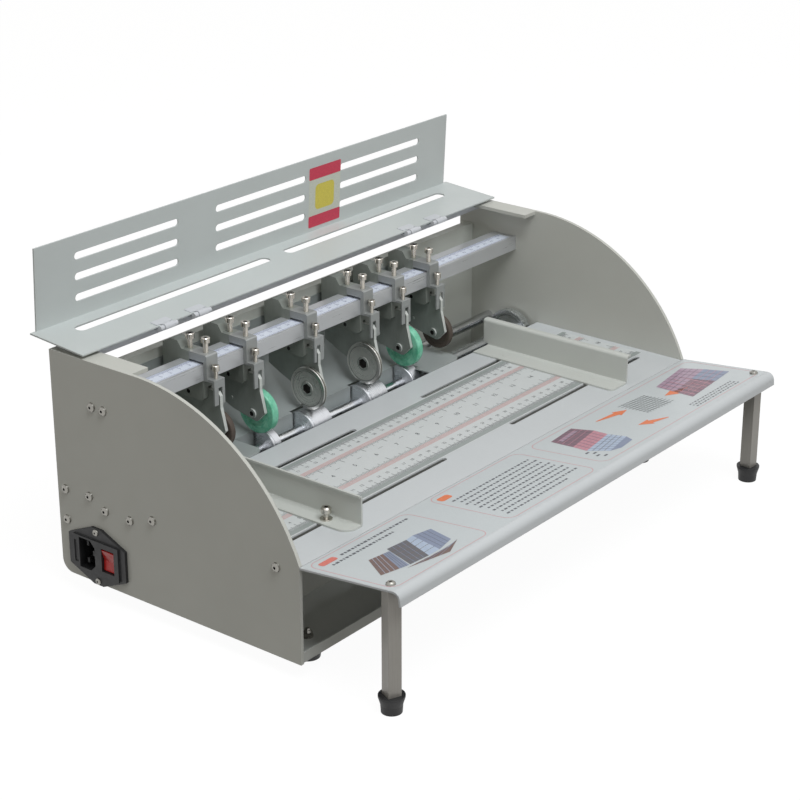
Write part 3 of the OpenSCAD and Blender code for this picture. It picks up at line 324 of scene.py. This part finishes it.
def turned(name, colour, axis_y, axis_z, rough=0.2, knurl=False, groove_shade_radius=None):
    """Turned steel round an axis along X; knurl adds a diamond pattern on its outside,
    as bump and as painted shade that darkens its valleys; groove_shade_radius draws a dark
    ring at that radius, painted shade of a turned groove."""
    g = Graph(name)
    tc = g.add("ShaderNodeTexCoord").outputs["Object"]
    xyz = g.add("ShaderNodeSeparateXYZ", {0: tc})
    dy = g.math("SUBTRACT", xyz.outputs[1], axis_y)
    dz = g.math("SUBTRACT", xyz.outputs[2], axis_z)
    r = g.math("SQRT", g.math("ADD", g.math("MULTIPLY", dy, dy), g.math("MULTIPLY", dz, dz)))
    ring = g.add("ShaderNodeCombineXYZ", {0: xyz.outputs[0], 1: r}).outputs[0]
    streak = g.noise(ring, 1400, 3, 0.6)
    cloud = g.noise(tc, 60, 3)
    tone = g.math("ADD", g.span(streak, -0.03, 0.03), g.span(cloud, 0.95, 1.04))
    # painted shade: the tone drops to half at groove_shade_radius, standing in for a groove's shade
    if groove_shade_radius:
        off = g.math("ABSOLUTE", g.math("SUBTRACT", r, groove_shade_radius))
        tone = g.math("MULTIPLY", tone, g.span(off, 0.5, 1.0, 0.0002, 0.0005))
    col = g.add("ShaderNodeHueSaturation", {"Color": colour, "Value": tone}).outputs[0]
    ro = g.math("ADD", g.span(streak, -0.05, 0.07), g.span(cloud, rough - 0.03, rough + 0.05))
    height = streak
    if knurl:
        ang = g.math("MULTIPLY", g.math("ARCTAN2", dz, dy), KNURL_R)
        turns = 2 * math.pi / KNURL_PITCH
        u = g.math("MULTIPLY", g.math("ADD", ang, xyz.outputs[0]), turns)
        w = g.math("MULTIPLY", g.math("SUBTRACT", ang, xyz.outputs[0]), turns)
        height = g.math("MULTIPLY", g.math("SINE", u), g.math("SINE", w))
        # painted shade: the knurl's valleys darker, its crests a little lighter
        knurl_painted_shade = g.span(height, 0.88, 1.05, -0.6, 0.6)
        col = g.add("ShaderNodeHueSaturation", {"Color": col, "Value": knurl_painted_shade}).outputs[0]
    return g.finish(col, ro, 1.0, height, 0.25 if knurl else 0.02, 0.0001, 0.0003)


SHAFT_AXIS = centre_yz("feed_shaft")
TURNED = turned("turned_steel", srgb(224, 227, 231), *SHAFT_AXIS, 0.20)
HAND = turned("hand_wheel_zinc", srgb(216, 219, 220), *SHAFT_AXIS, 0.24, groove_shade_radius=0.0165)
ROLLER = turned("roller_steel", srgb(222, 224, 228), *SHAFT_AXIS, 0.28, knurl=True)
DISC = turned("disc_steel", srgb(206, 205, 200), *centre_yz("head_3_wheel"), 0.28, groove_shade_radius=0.0148)


def dress(material, *nodes):
    for n in nodes:
        o = frame["nodes"][n]
        if not o.material_slots:
            o.data.materials.append(material)
        for s in o.material_slots:
            s.material = material


dress(PAINT_PLATE, "left_side_plate", "right_side_plate")
dress(PAINT, "cover")
dress(PAINT_PAN, "base_pan")
dress(PAINT_BACK_LIGHTENED, "rear_panel")
dress(FENCE, "left_fence", "right_fence")
dress(TABLE, "feed_table", "front_shelf")
dress(CHUTE, "paper_chute")
dress(BAR, "cross_bar")
dress(SHAFT, "frame_tie_rods")
dress(BEARING, "bearing_housings")
dress(PAINT_HINGE, "hinge_rail", "cover_hinge_leaves")
dress(ZINC, "motor_pulley", "shaft_pulley")
dress(BLACK, "power_inlet")
dress(RED, "rocker_switch")
dress(MOTOR, "drive_motor")
dress(BELT, "drive_belt")
dress(TURNED, "feed_shaft")
dress(ROLLER, "feed_rollers")
dress(HAND, "hand_wheel")
dress(NICKEL, "left_fence_locks", "right_fence_locks")
dress(BRIGHT_SCREW, "frame_screws")
dress(LEG, "legs")
dress(RUBBER, "rubber_feet")
for i in HEAD_IDS:
    dress(BLOCK, "head_%d_block" % i)
    dress(STRAP, "head_%d_strap" % i)
    dress(CAP, "head_%d_screws" % i)
    dress(ARM, "head_%d_arm" % i)
dress(BROWN, "head_1_wheel", "head_6_wheel")
dress(GREEN, "head_2_wheel", "head_5_wheel")
dress(DISC, "head_3_wheel", "head_4_wheel")

# ---------------------------------------------------------------- prints and labels


def ink(name, colour, mottle=0.08):
    """Printed ink on film: slightly uneven density."""
    g = Graph(name)
    v = g.coords()
    tone = g.span(g.noise(v, 900, 3), 1 - mottle, 1 + mottle)
    col = g.add("ShaderNodeHueSaturation", {"Color": colour, "Value": tone}).outputs[0]
    ro = g.span(g.noise(v, 150, 2), 0.30, 0.42)
    return g.finish(col, ro, 0.0, g.noise(v, 1800, 2), 0.04, 0.00005)


FILM = ink("label_film", srgb(205, 209, 209), 0.02)
FILM_BAR = ink("ruler_film", srgb(222, 229, 242), 0.03)
FILM_SHELF = ink("shelf_film", srgb(197, 203, 205), 0.02)
BAND = ink("ink_band_grey", srgb(150, 157, 155), 0.05)
TICK = ink("ink_tick_grey", srgb(76, 81, 83))
PINK = ink("ink_pink", srgb(206, 172, 170), 0.05)
PINK_LINE = ink("ink_pink_line", srgb(204, 160, 164))
FIGURE = ink("ink_figures", srgb(64, 68, 72))
ORANGE = ink("ink_orange", srgb(226, 122, 76))
CORAL = ink("ink_coral", srgb(214, 118, 106))
DASH = ink("ink_dash", srgb(88, 90, 97))
BLUE_GREY = ink("ink_blue_grey", srgb(132, 142, 166))
BROWN_INK = ink("ink_brown", srgb(116, 92, 86))
SLATE = ink("ink_slate", srgb(96, 96, 102))
PALE_BLUE = ink("ink_pale_blue", srgb(176, 190, 210))
MAUVE = ink("ink_mauve", srgb(168, 142, 162))
PLUM = ink("ink_plum", srgb(128, 98, 112))
ROSE = ink("ink_rose", srgb(196, 138, 150))
STICKER_RED = ink("sticker_red", srgb(204, 58, 84))
STICKER_GREY = ink("sticker_grey", srgb(202, 206, 194))
STICKER_YELLOW = ink("sticker_yellow", srgb(214, 200, 84))
RULER_MARK = ink("ruler_marks", srgb(112, 118, 152))


class Print:
    """Collects flat shapes in a plane and turns them into one thin piece."""

    def __init__(self, name, origin, along, across, lift=0.00004):
        self.name = name
        self.o, self.u, self.v = Vector(origin), Vector(along).normalized(), Vector(across).normalized()
        self.n = self.u.cross(self.v)
        self.lift = lift
        self.bm = bmesh.new()
        self.mats = []

    def slot(self, material):
        if material not in self.mats:
            self.mats.append(material)
        return self.mats.index(material)

    def point(self, a, b, level=0):
        return self.o + self.u * (a * MM) + self.v * (b * MM) + self.n * (self.lift * (1 + level))

    def poly(self, pts, material, level=1):
        """A flat face facing out; a higher level lies a lift further out."""
        vs = [self.bm.verts.new(self.point(a, b, level)) for a, b in pts]
        f = self.bm.faces.new(vs)
        f.material_index = self.slot(material)
        f.normal_update()
        if f.normal.dot(self.n) < 0:
            f.normal_flip()

    def rect(self, a0, b0, a1, b1, material, level=1):
        self.poly([(a0, b0), (a1, b0), (a1, b1), (a0, b1)], material, level)

    def line(self, a0, b0, a1, b1, w, material, level=1):
        d = Vector((a1 - a0, b1 - b0))
        d.normalize()
        p = Vector((-d.y, d.x)) * (w / 2)
        self.poly([(a0 + p.x, b0 + p.y), (a0 - p.x, b0 - p.y), (a1 - p.x, b1 - p.y),
                   (a1 + p.x, b1 + p.y)], material, level)

    def outline(self, a0, b0, a1, b1, r, steps=6):
        pts = []
        for cx, cy, t in ((a1 - r, b1 - r, 0), (a0 + r, b1 - r, 90), (a0 + r, b0 + r, 180),
                          (a1 - r, b0 + r, 270)):
            for k in range(steps + 1):
                ang = math.radians(t + 90 * k / steps)
                pts.append((cx + r * math.cos(ang), cy + r * math.sin(ang)))
        return pts

    def rounded(self, a0, b0, a1, b1, r, material, level=0):
        self.poly(self.outline(a0, b0, a1, b1, r), material, level)

    def ring(self, a0, b0, a1, b1, r, w, material, level=1):
        outer = self.outline(a0, b0, a1, b1, r)
        inner = self.outline(a0 + w, b0 + w, a1 - w, b1 - w, max(r - w, 0.1))
        n = len(outer)
        for k in range(n):
            self.poly([outer[k], outer[(k + 1) % n], inner[(k + 1) % n], inner[k]], material, level)

    def figures(self, text, a, b, size, material, level=1):
        """Plain figures of a scale, centred on (a, b)."""
        curve = bpy.data.curves.new("figures", "FONT")
        curve.body, curve.size = text, size
        curve.align_x, curve.align_y = "CENTER", "CENTER"
        curve.resolution_u = 2
        o = bpy.data.objects.new("figures", curve)
        bpy.context.scene.collection.objects.link(o)
        bpy.context.view_layer.update()
        me = o.to_mesh()
        base = [self.bm.verts.new(self.point(*(Vector(v.co[:2]) + Vector((a, b))), level))
                for v in me.vertices]
        idx = self.slot(material)
        for p in me.polygons:
            try:
                f = self.bm.faces.new([base[i] for i in p.vertices])
            except ValueError:
                continue
            f.material_index = idx
            f.normal_update()
            if f.normal.dot(self.n) < 0:
                f.normal_flip()
        o.to_mesh_clear()
        bpy.data.objects.remove(o)
        bpy.data.curves.remove(curve)

    def build(self, body):
        me = bpy.data.meshes.new(self.name)
        self.bm.to_mesh(me)
        self.bm.free()
        for m in self.mats:
            me.materials.append(m)
        o = bpy.data.objects.new(self.name, me)
        bpy.context.scene.collection.objects.link(o)
        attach(o, body)
        return o


def slats(p, quad, count, width, material, level=3):
    """Fine parallel lines across a four-cornered patch, between its first and third sides."""
    a, b, c, d = (Vector(q) for q in quad)
    for k in range(1, count):
        t = k / count
        s, e = a.lerp(b, t), d.lerp(c, t)
        p.line(s.x, s.y, e.x, e.y, width, material, level)


def dashes(p, start, end, low, high, widths, space, first):
    """A row of short dashes, where the real print has a line of words."""
    a, k = start, first
    while a < end:
        w = widths[k % len(widths)]
        p.rect(a, low, a + w, high, DASH, 2)
        a += w + space
        k += 1


def pointer(p, tail, tip):
    """Arrow that widens from its tail to a triangular head."""
    tail, tip = Vector(tail), Vector(tip)
    d = (tip - tail).normalized()
    n = Vector((-d.y, d.x))
    neck = tip - d * 12
    p.poly([tuple(tail + n * 0.6), tuple(tail - n * 0.6), tuple(neck - n * 3.0),
            tuple(neck + n * 3.0)], ORANGE, 2)
    p.poly([tuple(neck + n * 5.6), tuple(neck - n * 5.6), tuple(tip)], ORANGE, 2)


def table_scale():
    """Paper scale between the fence slots: two grey bands, metric and inch divisions."""
    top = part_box("feed_table")[1].z
    p = Print("table_scale", (ORIGIN[0] * MM, ORIGIN[1] * MM, top), (1, 0, 0), (0, 1, 0))
    x0, x1 = -239.5, 239.5
    back, front = 114.0, 41.4  # where the millimetre divisions start
    back_inch, front_inch = 95.2, 62.4  # where the inch divisions start
    pitch, stripe = 0.75, 0.21  # of the pink bands' fine stripes
    thick, thin = 0.44, 0.32
    p.rounded(x0, 35.7, x1, 119.3, 1.0, FILM)
    p.rect(x0 + 0.4, back, x1 - 0.4, 118.2, BAND)
    p.rect(x0 + 0.4, 36.6, x1 - 0.4, front, BAND)
    for b0, b1 in ((back_inch, 99.4), (58.0, front_inch)):
        p.rect(x0 + 0.4, b0, x1 - 0.4, b0 + 0.5, PINK)
        p.rect(x0 + 0.4, b1 - 0.5, x1 - 0.4, b1, PINK)
        for k in range(-316, 317):
            p.rect(k * pitch - stripe, b0 + 0.5, k * pitch + stripe, b1 - 0.5, PINK)
    for k in range(-236, 237):
        long = 6.0 if k % 10 == 0 else 4.6 if k % 5 == 0 else 3.0
        w = thick if k % 10 == 0 else thin
        p.rect(k - w / 2, back - long, k + w / 2, back, TICK, 2)
        p.rect(k - w / 2, front, k + w / 2, front + long, TICK, 2)
        if k % 10 == 0:
            n = str(abs(k + 240) // 10)
            p.figures(n, k, 104.6, 3.8, FIGURE, 2)
            p.figures(n, k, 51.2, 3.8, FIGURE, 2)
    zero, per_inch = -222.4, 16
    for j in range(-10, 18 * per_inch + 4):
        x = zero + j * INCH / per_inch
        if not x0 + 3 < x < x1 - 3:
            continue
        long = 7.0 if j % 16 == 0 else 4.6 if j % 8 == 0 else 3.4 if j % 4 == 0 else 2.2
        w = thick if j % 16 == 0 else thin
        p.rect(x - w / 2, back_inch - long, x + w / 2, back_inch, TICK, 2)
        p.rect(x - w / 2, front_inch, x + w / 2, front_inch + long, TICK, 2)
        if j % 16 == 0 and j > 0:
            p.figures(str(j // 16), x + 0.4, 78.4, 5.6, FIGURE, 2)
        elif j % 8 == 0 and j > 0:
            p.line(x - 2.6, 84.4, x + 2.6, 84.4, 0.3, TICK, 2)
    p.build("frame")


def bar_scale():
    """Narrow bluish rule along the top of the cross bar."""
    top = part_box("cross_bar")[1].z
    p = Print("bar_scale", (ORIGIN[0] * MM, ORIGIN[1] * MM, top), (1, 0, 0), (0, 1, 0), 0.00001)
    back, front = 190.4, 178.4  # where the divisions start
    p.rounded(-BAR_REACH, 178.2, BAR_REACH, 190.6, 0.6, FILM_BAR)
    p.rect(-BAR_REACH, 190.9, BAR_REACH, 191.5, BAND)
    for k in range(-238, 239):
        long = 5.4 if k % 10 == 0 else 4.2 if k % 5 == 0 else 3.0
        p.rect(k - 0.19, back - long, k + 0.19, back, RULER_MARK, 2)
        p.rect(k - 0.15, front, k + 0.15, front + long * 0.4, RULER_MARK, 2)
        if k % 10 == 0:
            p.figures(str(abs(k + BAR_REACH) // 10), k, 183.4, 3.6, RULER_MARK, 2)
    p.build("frame")


SHELF_TILT = 5.9  # the shelf's fall to the front, degrees
# Colour blocks of the shelf's right panel, corner by corner
PLUM_BLOCK = ((30, -14), (62, -11), (66, -30), (28, -36))
ROSE_BLOCK = ((28, -36), (66, -30), (64, -44), (26, -50))
BLUE_BLOCK = ((26, -50), (64, -44), (66, -60), (34, -66))
MAUVE_BLOCK = ((176, -18), (226, -11), (232, -30), (172, -38))
DARK_BLOCK = ((172, -38), (232, -30), (236, -52), (168, -58))


def shelf_print():
    """Generic panels along the shelf: pink frames, small tags, ruled lines, colour blocks."""
    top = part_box("feed_table")[1].z
    tilt = math.radians(SHELF_TILT)
    along, down = Vector((1, 0, 0)), Vector((0, math.cos(tilt), -math.sin(tilt)))
    o = Vector((ORIGIN[0] * MM, (ORIGIN[1] - 0.2) * MM, top))
    p = Print("shelf_print", o, along, down)
    # b runs from 0 at the table to -81 at the front bend
    p.rounded(-247.5, -80.6, 247.5, -1.2, 3, FILM_SHELF)
    # left panel
    p.ring(-244.5, -79.5, -137.5, -2.6, 8, 0.7, PINK_LINE)
    p.rounded(-239, -13.5, -223, -7.5, 2.0, CORAL, 2)
    for row, (start, end) in enumerate(((-218, -146), (-234, -170))):
        drop = row * 6.5
        dashes(p, start, end, -12.2 - drop, -10.0 - drop, (2.6, 1.7, 3.3, 2.1, 1.4), 1.3, row)
    leaf = [((-232, -58), (-216, -34), (-203, -36), (-217, -62), BROWN_INK),
            ((-217, -62), (-203, -36), (-197, -37), (-209, -64), BLUE_GREY),
            ((-208, -64), (-195, -33), (-176, -35), (-190, -66), SLATE),
            ((-190, -66), (-176, -35), (-168, -34), (-178, -66), PALE_BLUE),
            ((-178, -66), (-168, -34), (-152, -38), (-160, -62), BLUE_GREY),
            ((-214, -66), (-170, -69), (-158, -66), (-178, -75), BROWN_INK)]
    for n, (a, b, c, d, m) in enumerate(leaf):
        p.poly([a, b, c, d], m, 2)
        slats(p, (a, b, c, d), 5, 0.5, (SLATE, BLUE_GREY, BROWN_INK)[n % 3])
        slats(p, (b, c, d, a), 4, 0.35, (PALE_BLUE, SLATE, BLUE_GREY)[n % 3], 4)
    # middle panel
    p.ring(-112, -78.5, -2, -2.6, 8, 0.7, PINK_LINE)
    p.rounded(-107.5, -14.5, -95, -7.5, 2.4, ORANGE, 2)
    for row in range(9):
        b = -20.5 - row * 6.1
        start, end = -104 + (2 if row % 2 else 0), -10 - (18 if row == 8 else 0)
        dashes(p, start, end, b - 1.0, b + 0.9, (3.4, 2.2, 2.8, 1.6), 1.5, row)
    # right panel
    p.ring(11.5, -76.5, 244.5, -5.0, 8, 0.7, PINK_LINE)
    p.poly(PLUM_BLOCK, PLUM, 2)
    p.poly(ROSE_BLOCK, ROSE, 2)
    p.poly([(34, -18), (58, -15.5), (60, -19), (34, -22)], MAUVE, 3)
    p.poly(BLUE_BLOCK, PALE_BLUE, 2)
    p.poly([(34, -66), (66, -60), (62, -68), (44, -70)], BLUE_GREY, 2)
    for k in range(4):
        p.rect(20 + (k % 2) * 3, -54 - k * 5, 24 + (k % 2) * 3, -52.2 - k * 5, DASH, 2)
    for quad, ink_a, ink_b in ((PLUM_BLOCK, SLATE, ROSE), (ROSE_BLOCK, PLUM, MAUVE),
                               (BLUE_BLOCK, BLUE_GREY, SLATE), (MAUVE_BLOCK, PLUM, SLATE),
                               (DARK_BLOCK, SLATE, ROSE)):
        a, b, c, d = quad
        slats(p, quad, 7, 0.6, ink_a, 4)
        slats(p, (b, c, d, a), 4, 0.4, ink_b, 5)
    # three pointers and a line sketch
    for tail, tip in (((84, -20), (118, -27)), ((118, -66), (92, -54)), ((186, -42), (160, -36))):
        pointer(p, tail, tip)
    for k in range(9):
        p.line(126 + k * 3.4, -16 - k * 0.5, 120 + k * 3.4, -46 - k * 0.5, 0.5, TICK, 2)
        p.line(120, -17 - k * 3.4, 154, -21 - k * 3.4, 0.5, TICK, 3)
    p.poly(MAUVE_BLOCK, MAUVE, 2)
    p.poly(DARK_BLOCK, PLUM, 2)
    p.poly([(206, -33.5), (232, -30), (236, -52), (210, -54.4)], BLUE_GREY, 3)
    for k in range(5):
        p.line(178 + k * 7, -20 - k * 0.4, 174 + k * 7, -56 + k * 0.4, 0.8, ROSE, 3)
    for row in range(3):
        drop = row * 3.4
        dashes(p, 150, 214, -66.5 - drop, -65.1 - drop, (2.4, 1.6, 3.0), 1.6, row)
    p.build("frame")


def cover_sticker():
    """Blank two-colour sticker on the cover's upright panel."""
    tilt = math.radians(COVER_PITCH + COVER_BEND)
    up = Vector((0, math.cos(tilt), math.sin(tilt)))
    base = at(0, COVER_LOW[0] + COVER_TOP_D * math.cos(COVER_TILT),
              COVER_LOW[1] + COVER_TOP_D * math.sin(COVER_TILT))
    base = base - Vector((0, math.sin(tilt), -math.cos(tilt))) * (COVER_SHEET * MM)
    p = Print("cover_sticker", base, (1, 0, 0), up, 0.00006)
    left, right, low, high = 58, 98, 4.5, 56.5
    p.rounded(left, low, right, high, 1.5, STICKER_GREY)
    p.rounded(66, 19, 90, 41, 4, STICKER_YELLOW, 1)
    p.rounded(left, 46, right, high, 1.2, STICKER_RED, 1)
    p.rounded(left, low, right, 14.5, 1.2, STICKER_RED, 1)
    p.build("cover")


table_scale()
bar_scale()
shelf_print()
cover_sticker()

# ---------------------------------------------------------------- fine detail


def piece(name, bm, materials, body):
    """Turns a bmesh into a piece that rides on a body."""
    me = bpy.data.meshes.new(name)
    bmesh.ops.recalc_face_normals(bm, faces=bm.faces)
    bm.to_mesh(me)
    bm.free()
    for m in materials:
        me.materials.append(m)
    o = bpy.data.objects.new(name, me)
    bpy.context.scene.collection.objects.link(o)
    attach(o, body)
    return o


def painted_shade_cup(bm, centre, out, r, depth, floor=0.03, gap=0.03):
    """Painted shade: a dark hexagonal cup just inside a screw's socket or a hole, standing in for the
    shade there; centre is on the socket's floor.
    """
    out = Vector(out)
    side = Vector((0, 1, 0))
    up = out.cross(side)
    low = [bm.verts.new(centre + out * (floor * MM) +
                        (up * math.cos(math.radians(60 * k)) + side * math.sin(math.radians(60 * k)))
                        * ((r - gap) * MM)) for k in range(6)]
    top = [bm.verts.new(v.co + out * ((depth - floor - 0.05) * MM)) for v in low]
    bm.faces.new(low)
    for k in range(6):
        bm.faces.new([low[k], low[(k + 1) % 6], top[(k + 1) % 6], top[k]])


# Radius and depth of each kind of socket, inside its screw head
SIDE_SOCKET, INLET_SOCKET, CAP_SOCKET = (1.2, 1.32), (0.9, 0.9), (1.7, 2.2)
PRESSURE_SOCKET, PIVOT_SOCKET = (1.275, 2.475), (1.8, 2.0)
BODY_OF = {n: b for b, ns in frame["record"]["behaviour"]["bodies"].items() for n in ns}


# Painted shade in the sockets of the side, inlet, fence and head screws, and in the arms' pivot and
# axle holes.
def painted_socket_shades():
    bm = bmesh.new()
    for y, z in SIDE_SCREWS:
        for s in (-1, 1):
            painted_shade_cup(bm, at(s * (HALF_W + 0.88), y, z), (s, 0, 0), *SIDE_SOCKET)
    for k in (-1, 1):
        painted_shade_cup(bm, at(-HALF_W - 3.1, 196.9, 23.3 + 20 * k), (-1, 0, 0), *INLET_SOCKET)
    piece("frame_painted_socket_shades", bm, [SOCKET], "frame")
    bm = bmesh.new()
    painted_shade_cup(bm, at(-181.65, FENCE_SCREW_YS[0], 84.7), (0, 0, 1), *CAP_SOCKET)
    piece("left_fence_painted_socket_shade", bm, [SOCKET], "left_fence")
    for i, (x, hand) in enumerate(HEADS, 1):
        bm = bmesh.new()
        for y in (178.0, 194.0):
            painted_shade_cup(bm, at(x, y, 168.8), (0, 0, 1), *CAP_SOCKET)
        painted_shade_cup(bm, at(x, 168.6, 148.525), (0, 0, 1), *PRESSURE_SOCKET)
        piece("head_%d_socket_linings" % i, bm, [SOCKET], BODY_OF["head_%d_screws" % i])
        bm = bmesh.new()
        # painted shade in the pivot hole, on the pin's end and in the axle bolt's socket
        painted_shade_cup(bm, at(x - hand * 4.0, 192.0, 126.3), (-hand, 0, 0), *PIVOT_SOCKET)
        if hand < 0:
            painted_shade_cup(bm, at(x - 6.0, 192.0, 126.3), (-1, 0, 0), 1.8, 0.12)
            painted_shade_cup(bm, at(x - 5.35, 172.4, 97.0), (-1, 0, 0), 4.4, 2.1)
        else:
            painted_shade_cup(bm, at(x - 0.7, 172.4, 97.0), (-1, 0, 0), 2.2, 1.5)
        piece("head_%d_arm_linings" % i, bm, [SOCKET], BODY_OF["head_%d_arm" % i])


def cover_with_wide_slots():
    """The cover as packed, with the top panel's two slots opened to their seen width."""
    source = frame["nodes"]["cover"]
    me = source.data.copy()
    me.name = "cover_panels"
    o = bpy.data.objects.new("cover_panels", me)
    bpy.context.scene.collection.objects.link(o)
    mid = COVER_TOP_D * 0.667
    half, wide = 3.0, 4.8  # half the slots' width, as packed and as seen
    slot_x, reach = 0.4634 * HALF_W, 0.4212 * HALF_W  # a slot's middle and half length
    slack = 0.05
    c, s = math.cos(COVER_TILT), math.sin(COVER_TILT)
    for v in me.vertices:
        d = (v.co - COVER_EDGE) / MM
        u, w = d.y * c + d.z * s, d.z * c - d.y * s
        if not (-0.2 < w < COVER_SHEET + 0.2 and abs(u - mid) < half + slack):
            continue
        x = v.co.x / MM - ORIGIN[0]
        xm = math.copysign(slot_x, x)
        if abs(x - xm) > reach + slack:
            continue
        end = xm + math.copysign(reach - half, x - xm)
        new_end = xm + math.copysign(reach - wide, x - xm)
        x = new_end + (x - end) * wide / half
        u = mid + (u - mid) * wide / half
        v.co = Vector(((x + ORIGIN[0]) * MM, COVER_EDGE.y + (u * c - w * s) * MM,
                       COVER_EDGE.z + (u * s + w * c) * MM))
    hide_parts("cover")
    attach(o, "cover")


def hinge_wraps():
    """Thin leaves that lie on the cover and wrap over the hinge knuckles."""
    bm = bmesh.new()
    c, s = math.cos(COVER_TILT), math.sin(COVER_TILT)

    def on_cover(u, w):
        return (COVER_LOW[0] + u * c - w * s, COVER_LOW[1] + u * s + w * c)

    def around(r):
        return [(HINGE[0] + r * math.cos(math.radians(a)), HINGE[1] + r * math.sin(math.radians(a)))
                for a in range(205, 49, -12)]

    outer = around(2.85) + [on_cover(0.6, 1.75), on_cover(1.4, 1.7)]
    inner = around(2.25) + [on_cover(0.6, 1.23), on_cover(1.4, 1.23)]
    tail = [on_cover(1.4, 1.7), on_cover(8.6, 1.65)], [on_cover(1.4, 1.23), on_cover(8.6, 1.23)]
    for x in HINGE_XS:
        for top, low, half in ((outer, inner, 4.9), (tail[0], tail[1], 8.2)):
            rows = []
            for side in (-half, half):
                rows.append([bm.verts.new(at(x + side, y, z)) for y, z in top + low[::-1]])
            n = len(rows[0])
            for k in range(n):
                bm.faces.new([rows[0][k], rows[0][(k + 1) % n], rows[1][(k + 1) % n], rows[1][k]])
            m = len(top)
            for row in rows:
                for k in range(m - 1):
                    bm.faces.new([row[k], row[k + 1], row[n - 2 - k], row[n - 1 - k]])
    piece("hinge_wraps", bm, [PAINT_HINGE], "cover")


def upright(bm, x, y, profile, sides):
    """Closed solid round an upright axis; profile holds (radius, z)."""
    rings = []
    for r, z in profile:
        turn = [2 * math.pi * k / sides for k in range(sides)]
        rings.append([bm.verts.new(at(x + r * math.cos(t), y + r * math.sin(t), z)) for t in turn])
    bm.faces.new(rings[0])
    bm.faces.new(rings[-1])
    for a, b in zip(rings, rings[1:]):
        for k in range(sides):
            bm.faces.new([a[k], a[(k + 1) % sides], b[(k + 1) % sides], b[k]])


def right_fence_screws():
    """Flush painted screws of the right fence, each with its nut below the table."""
    lo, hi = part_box("right_fence_locks")
    x = (lo.x + hi.x) / 2 / MM - ORIGIN[0]
    screw = [(r, TABLE_TOP + z) for r, z in
             ((3.0, 1.58), (3.3, 1.48), (3.3, 1.3), (1.95, 1.2), (1.95, -4.6))]
    bm = bmesh.new()
    for y in FENCE_SCREW_YS:
        upright(bm, x, y, screw, 32)
        upright(bm, x, y, ((3.9, 74.0), (3.9, 71.0)), 6)
    o = piece("right_fence_screws", bm, [FENCE], "right_fence")
    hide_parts("right_fence_locks")


cover_with_wide_slots()
hinge_wraps()
painted_socket_shades()
right_fence_screws()

# ---------------------------------------------------------------- stage, light


def make_floor():
    me = bpy.data.meshes.new("floor")
    bm = bmesh.new()
    bmesh.ops.create_grid(bm, x_segments=2, y_segments=2, size=6.0)
    bm.to_mesh(me)
    bm.free()
    o = bpy.data.objects.new("floor", me)
    bpy.context.scene.collection.objects.link(o)
    g = Graph("floor")
    v = g.coords()
    col = g.mix(g.span(g.noise(v, 3, 2), 0.0, 1.0), srgb(108, 107, 105), srgb(114, 113, 111))
    bench = g.add("ShaderNodeBsdfDiffuse", {"Color": col})
    pale = g.add("ShaderNodeBsdfDiffuse", {"Color": (0.98, 0.98, 0.98, 1)})
    white = g.add("ShaderNodeEmission", {"Color": (1, 1, 1, 1), "Strength": 1.04})
    paper = g.add("ShaderNodeMixShader", {0: 0.92, 1: pale.outputs[0], 2: white.outputs[0]})
    lp = g.add("ShaderNodeLightPath")
    seen = g.math("MAXIMUM", lp.outputs["Is Camera Ray"],
                  g.math("MAXIMUM", lp.outputs["Is Glossy Ray"], lp.outputs["Is Transmission Ray"]))
    mix = g.add("ShaderNodeMixShader", {0: seen, 1: bench.outputs[0], 2: paper.outputs[0]})
    g.add("ShaderNodeOutputMaterial", {"Surface": mix.outputs[0]})
    me.materials.append(g.mat)


def make_world():
    w = bpy.data.worlds.new("world")
    bpy.context.scene.world = w
    w.use_nodes = True
    t = w.node_tree
    t.nodes.clear()
    lp = t.nodes.new("ShaderNodeLightPath")
    room = t.nodes.new("ShaderNodeBackground")
    room.inputs[0].default_value = (1.0, 0.955, 0.89, 1)
    room.inputs[1].default_value = 0.38
    white = t.nodes.new("ShaderNodeBackground")
    white.inputs[0].default_value = (1, 1, 1, 1)
    white.inputs[1].default_value = 1.0
    m1 = t.nodes.new("ShaderNodeMath")
    m1.operation = "MAXIMUM"
    m2 = t.nodes.new("ShaderNodeMath")
    m2.operation = "MAXIMUM"
    t.links.new(lp.outputs["Is Camera Ray"], m1.inputs[0])
    t.links.new(lp.outputs["Is Transmission Ray"], m1.inputs[1])
    t.links.new(m1.outputs[0], m2.inputs[0])
    t.links.new(lp.outputs["Is Glossy Ray"], m2.inputs[1])
    mix = t.nodes.new("ShaderNodeMixShader")
    t.links.new(m2.outputs[0], mix.inputs[0])
    t.links.new(room.outputs[0], mix.inputs[1])
    t.links.new(white.outputs[0], mix.inputs[2])
    out = t.nodes.new("ShaderNodeOutputWorld")
    t.links.new(mix.outputs[0], out.inputs[0])


def area_light(name, direction, distance, size, level, colour):
    """Soft light from a direction; level 1 lights a facing surface to its own colour."""
    data = bpy.data.lights.new(name, "AREA")
    data.shape = "DISK"
    data.size = size
    data.energy = level * math.pi ** 2 * distance ** 2
    data.color = colour
    o = bpy.data.objects.new(name, data)
    bpy.context.scene.collection.objects.link(o)
    d = Vector(direction).normalized()
    centre = Vector((0, 0, 0.12))
    o.location = centre + d * distance
    o.rotation_mode = "QUATERNION"
    o.rotation_quaternion = (-d).to_track_quat("-Z", "Y")


make_floor()
make_world()
area_light("key_soft", (-0.19, -0.48, 0.95), 2.4, 1.5, 0.70, (0.97, 1.0, 1.03))

bpy.context.scene.view_settings.view_transform = "Standard"
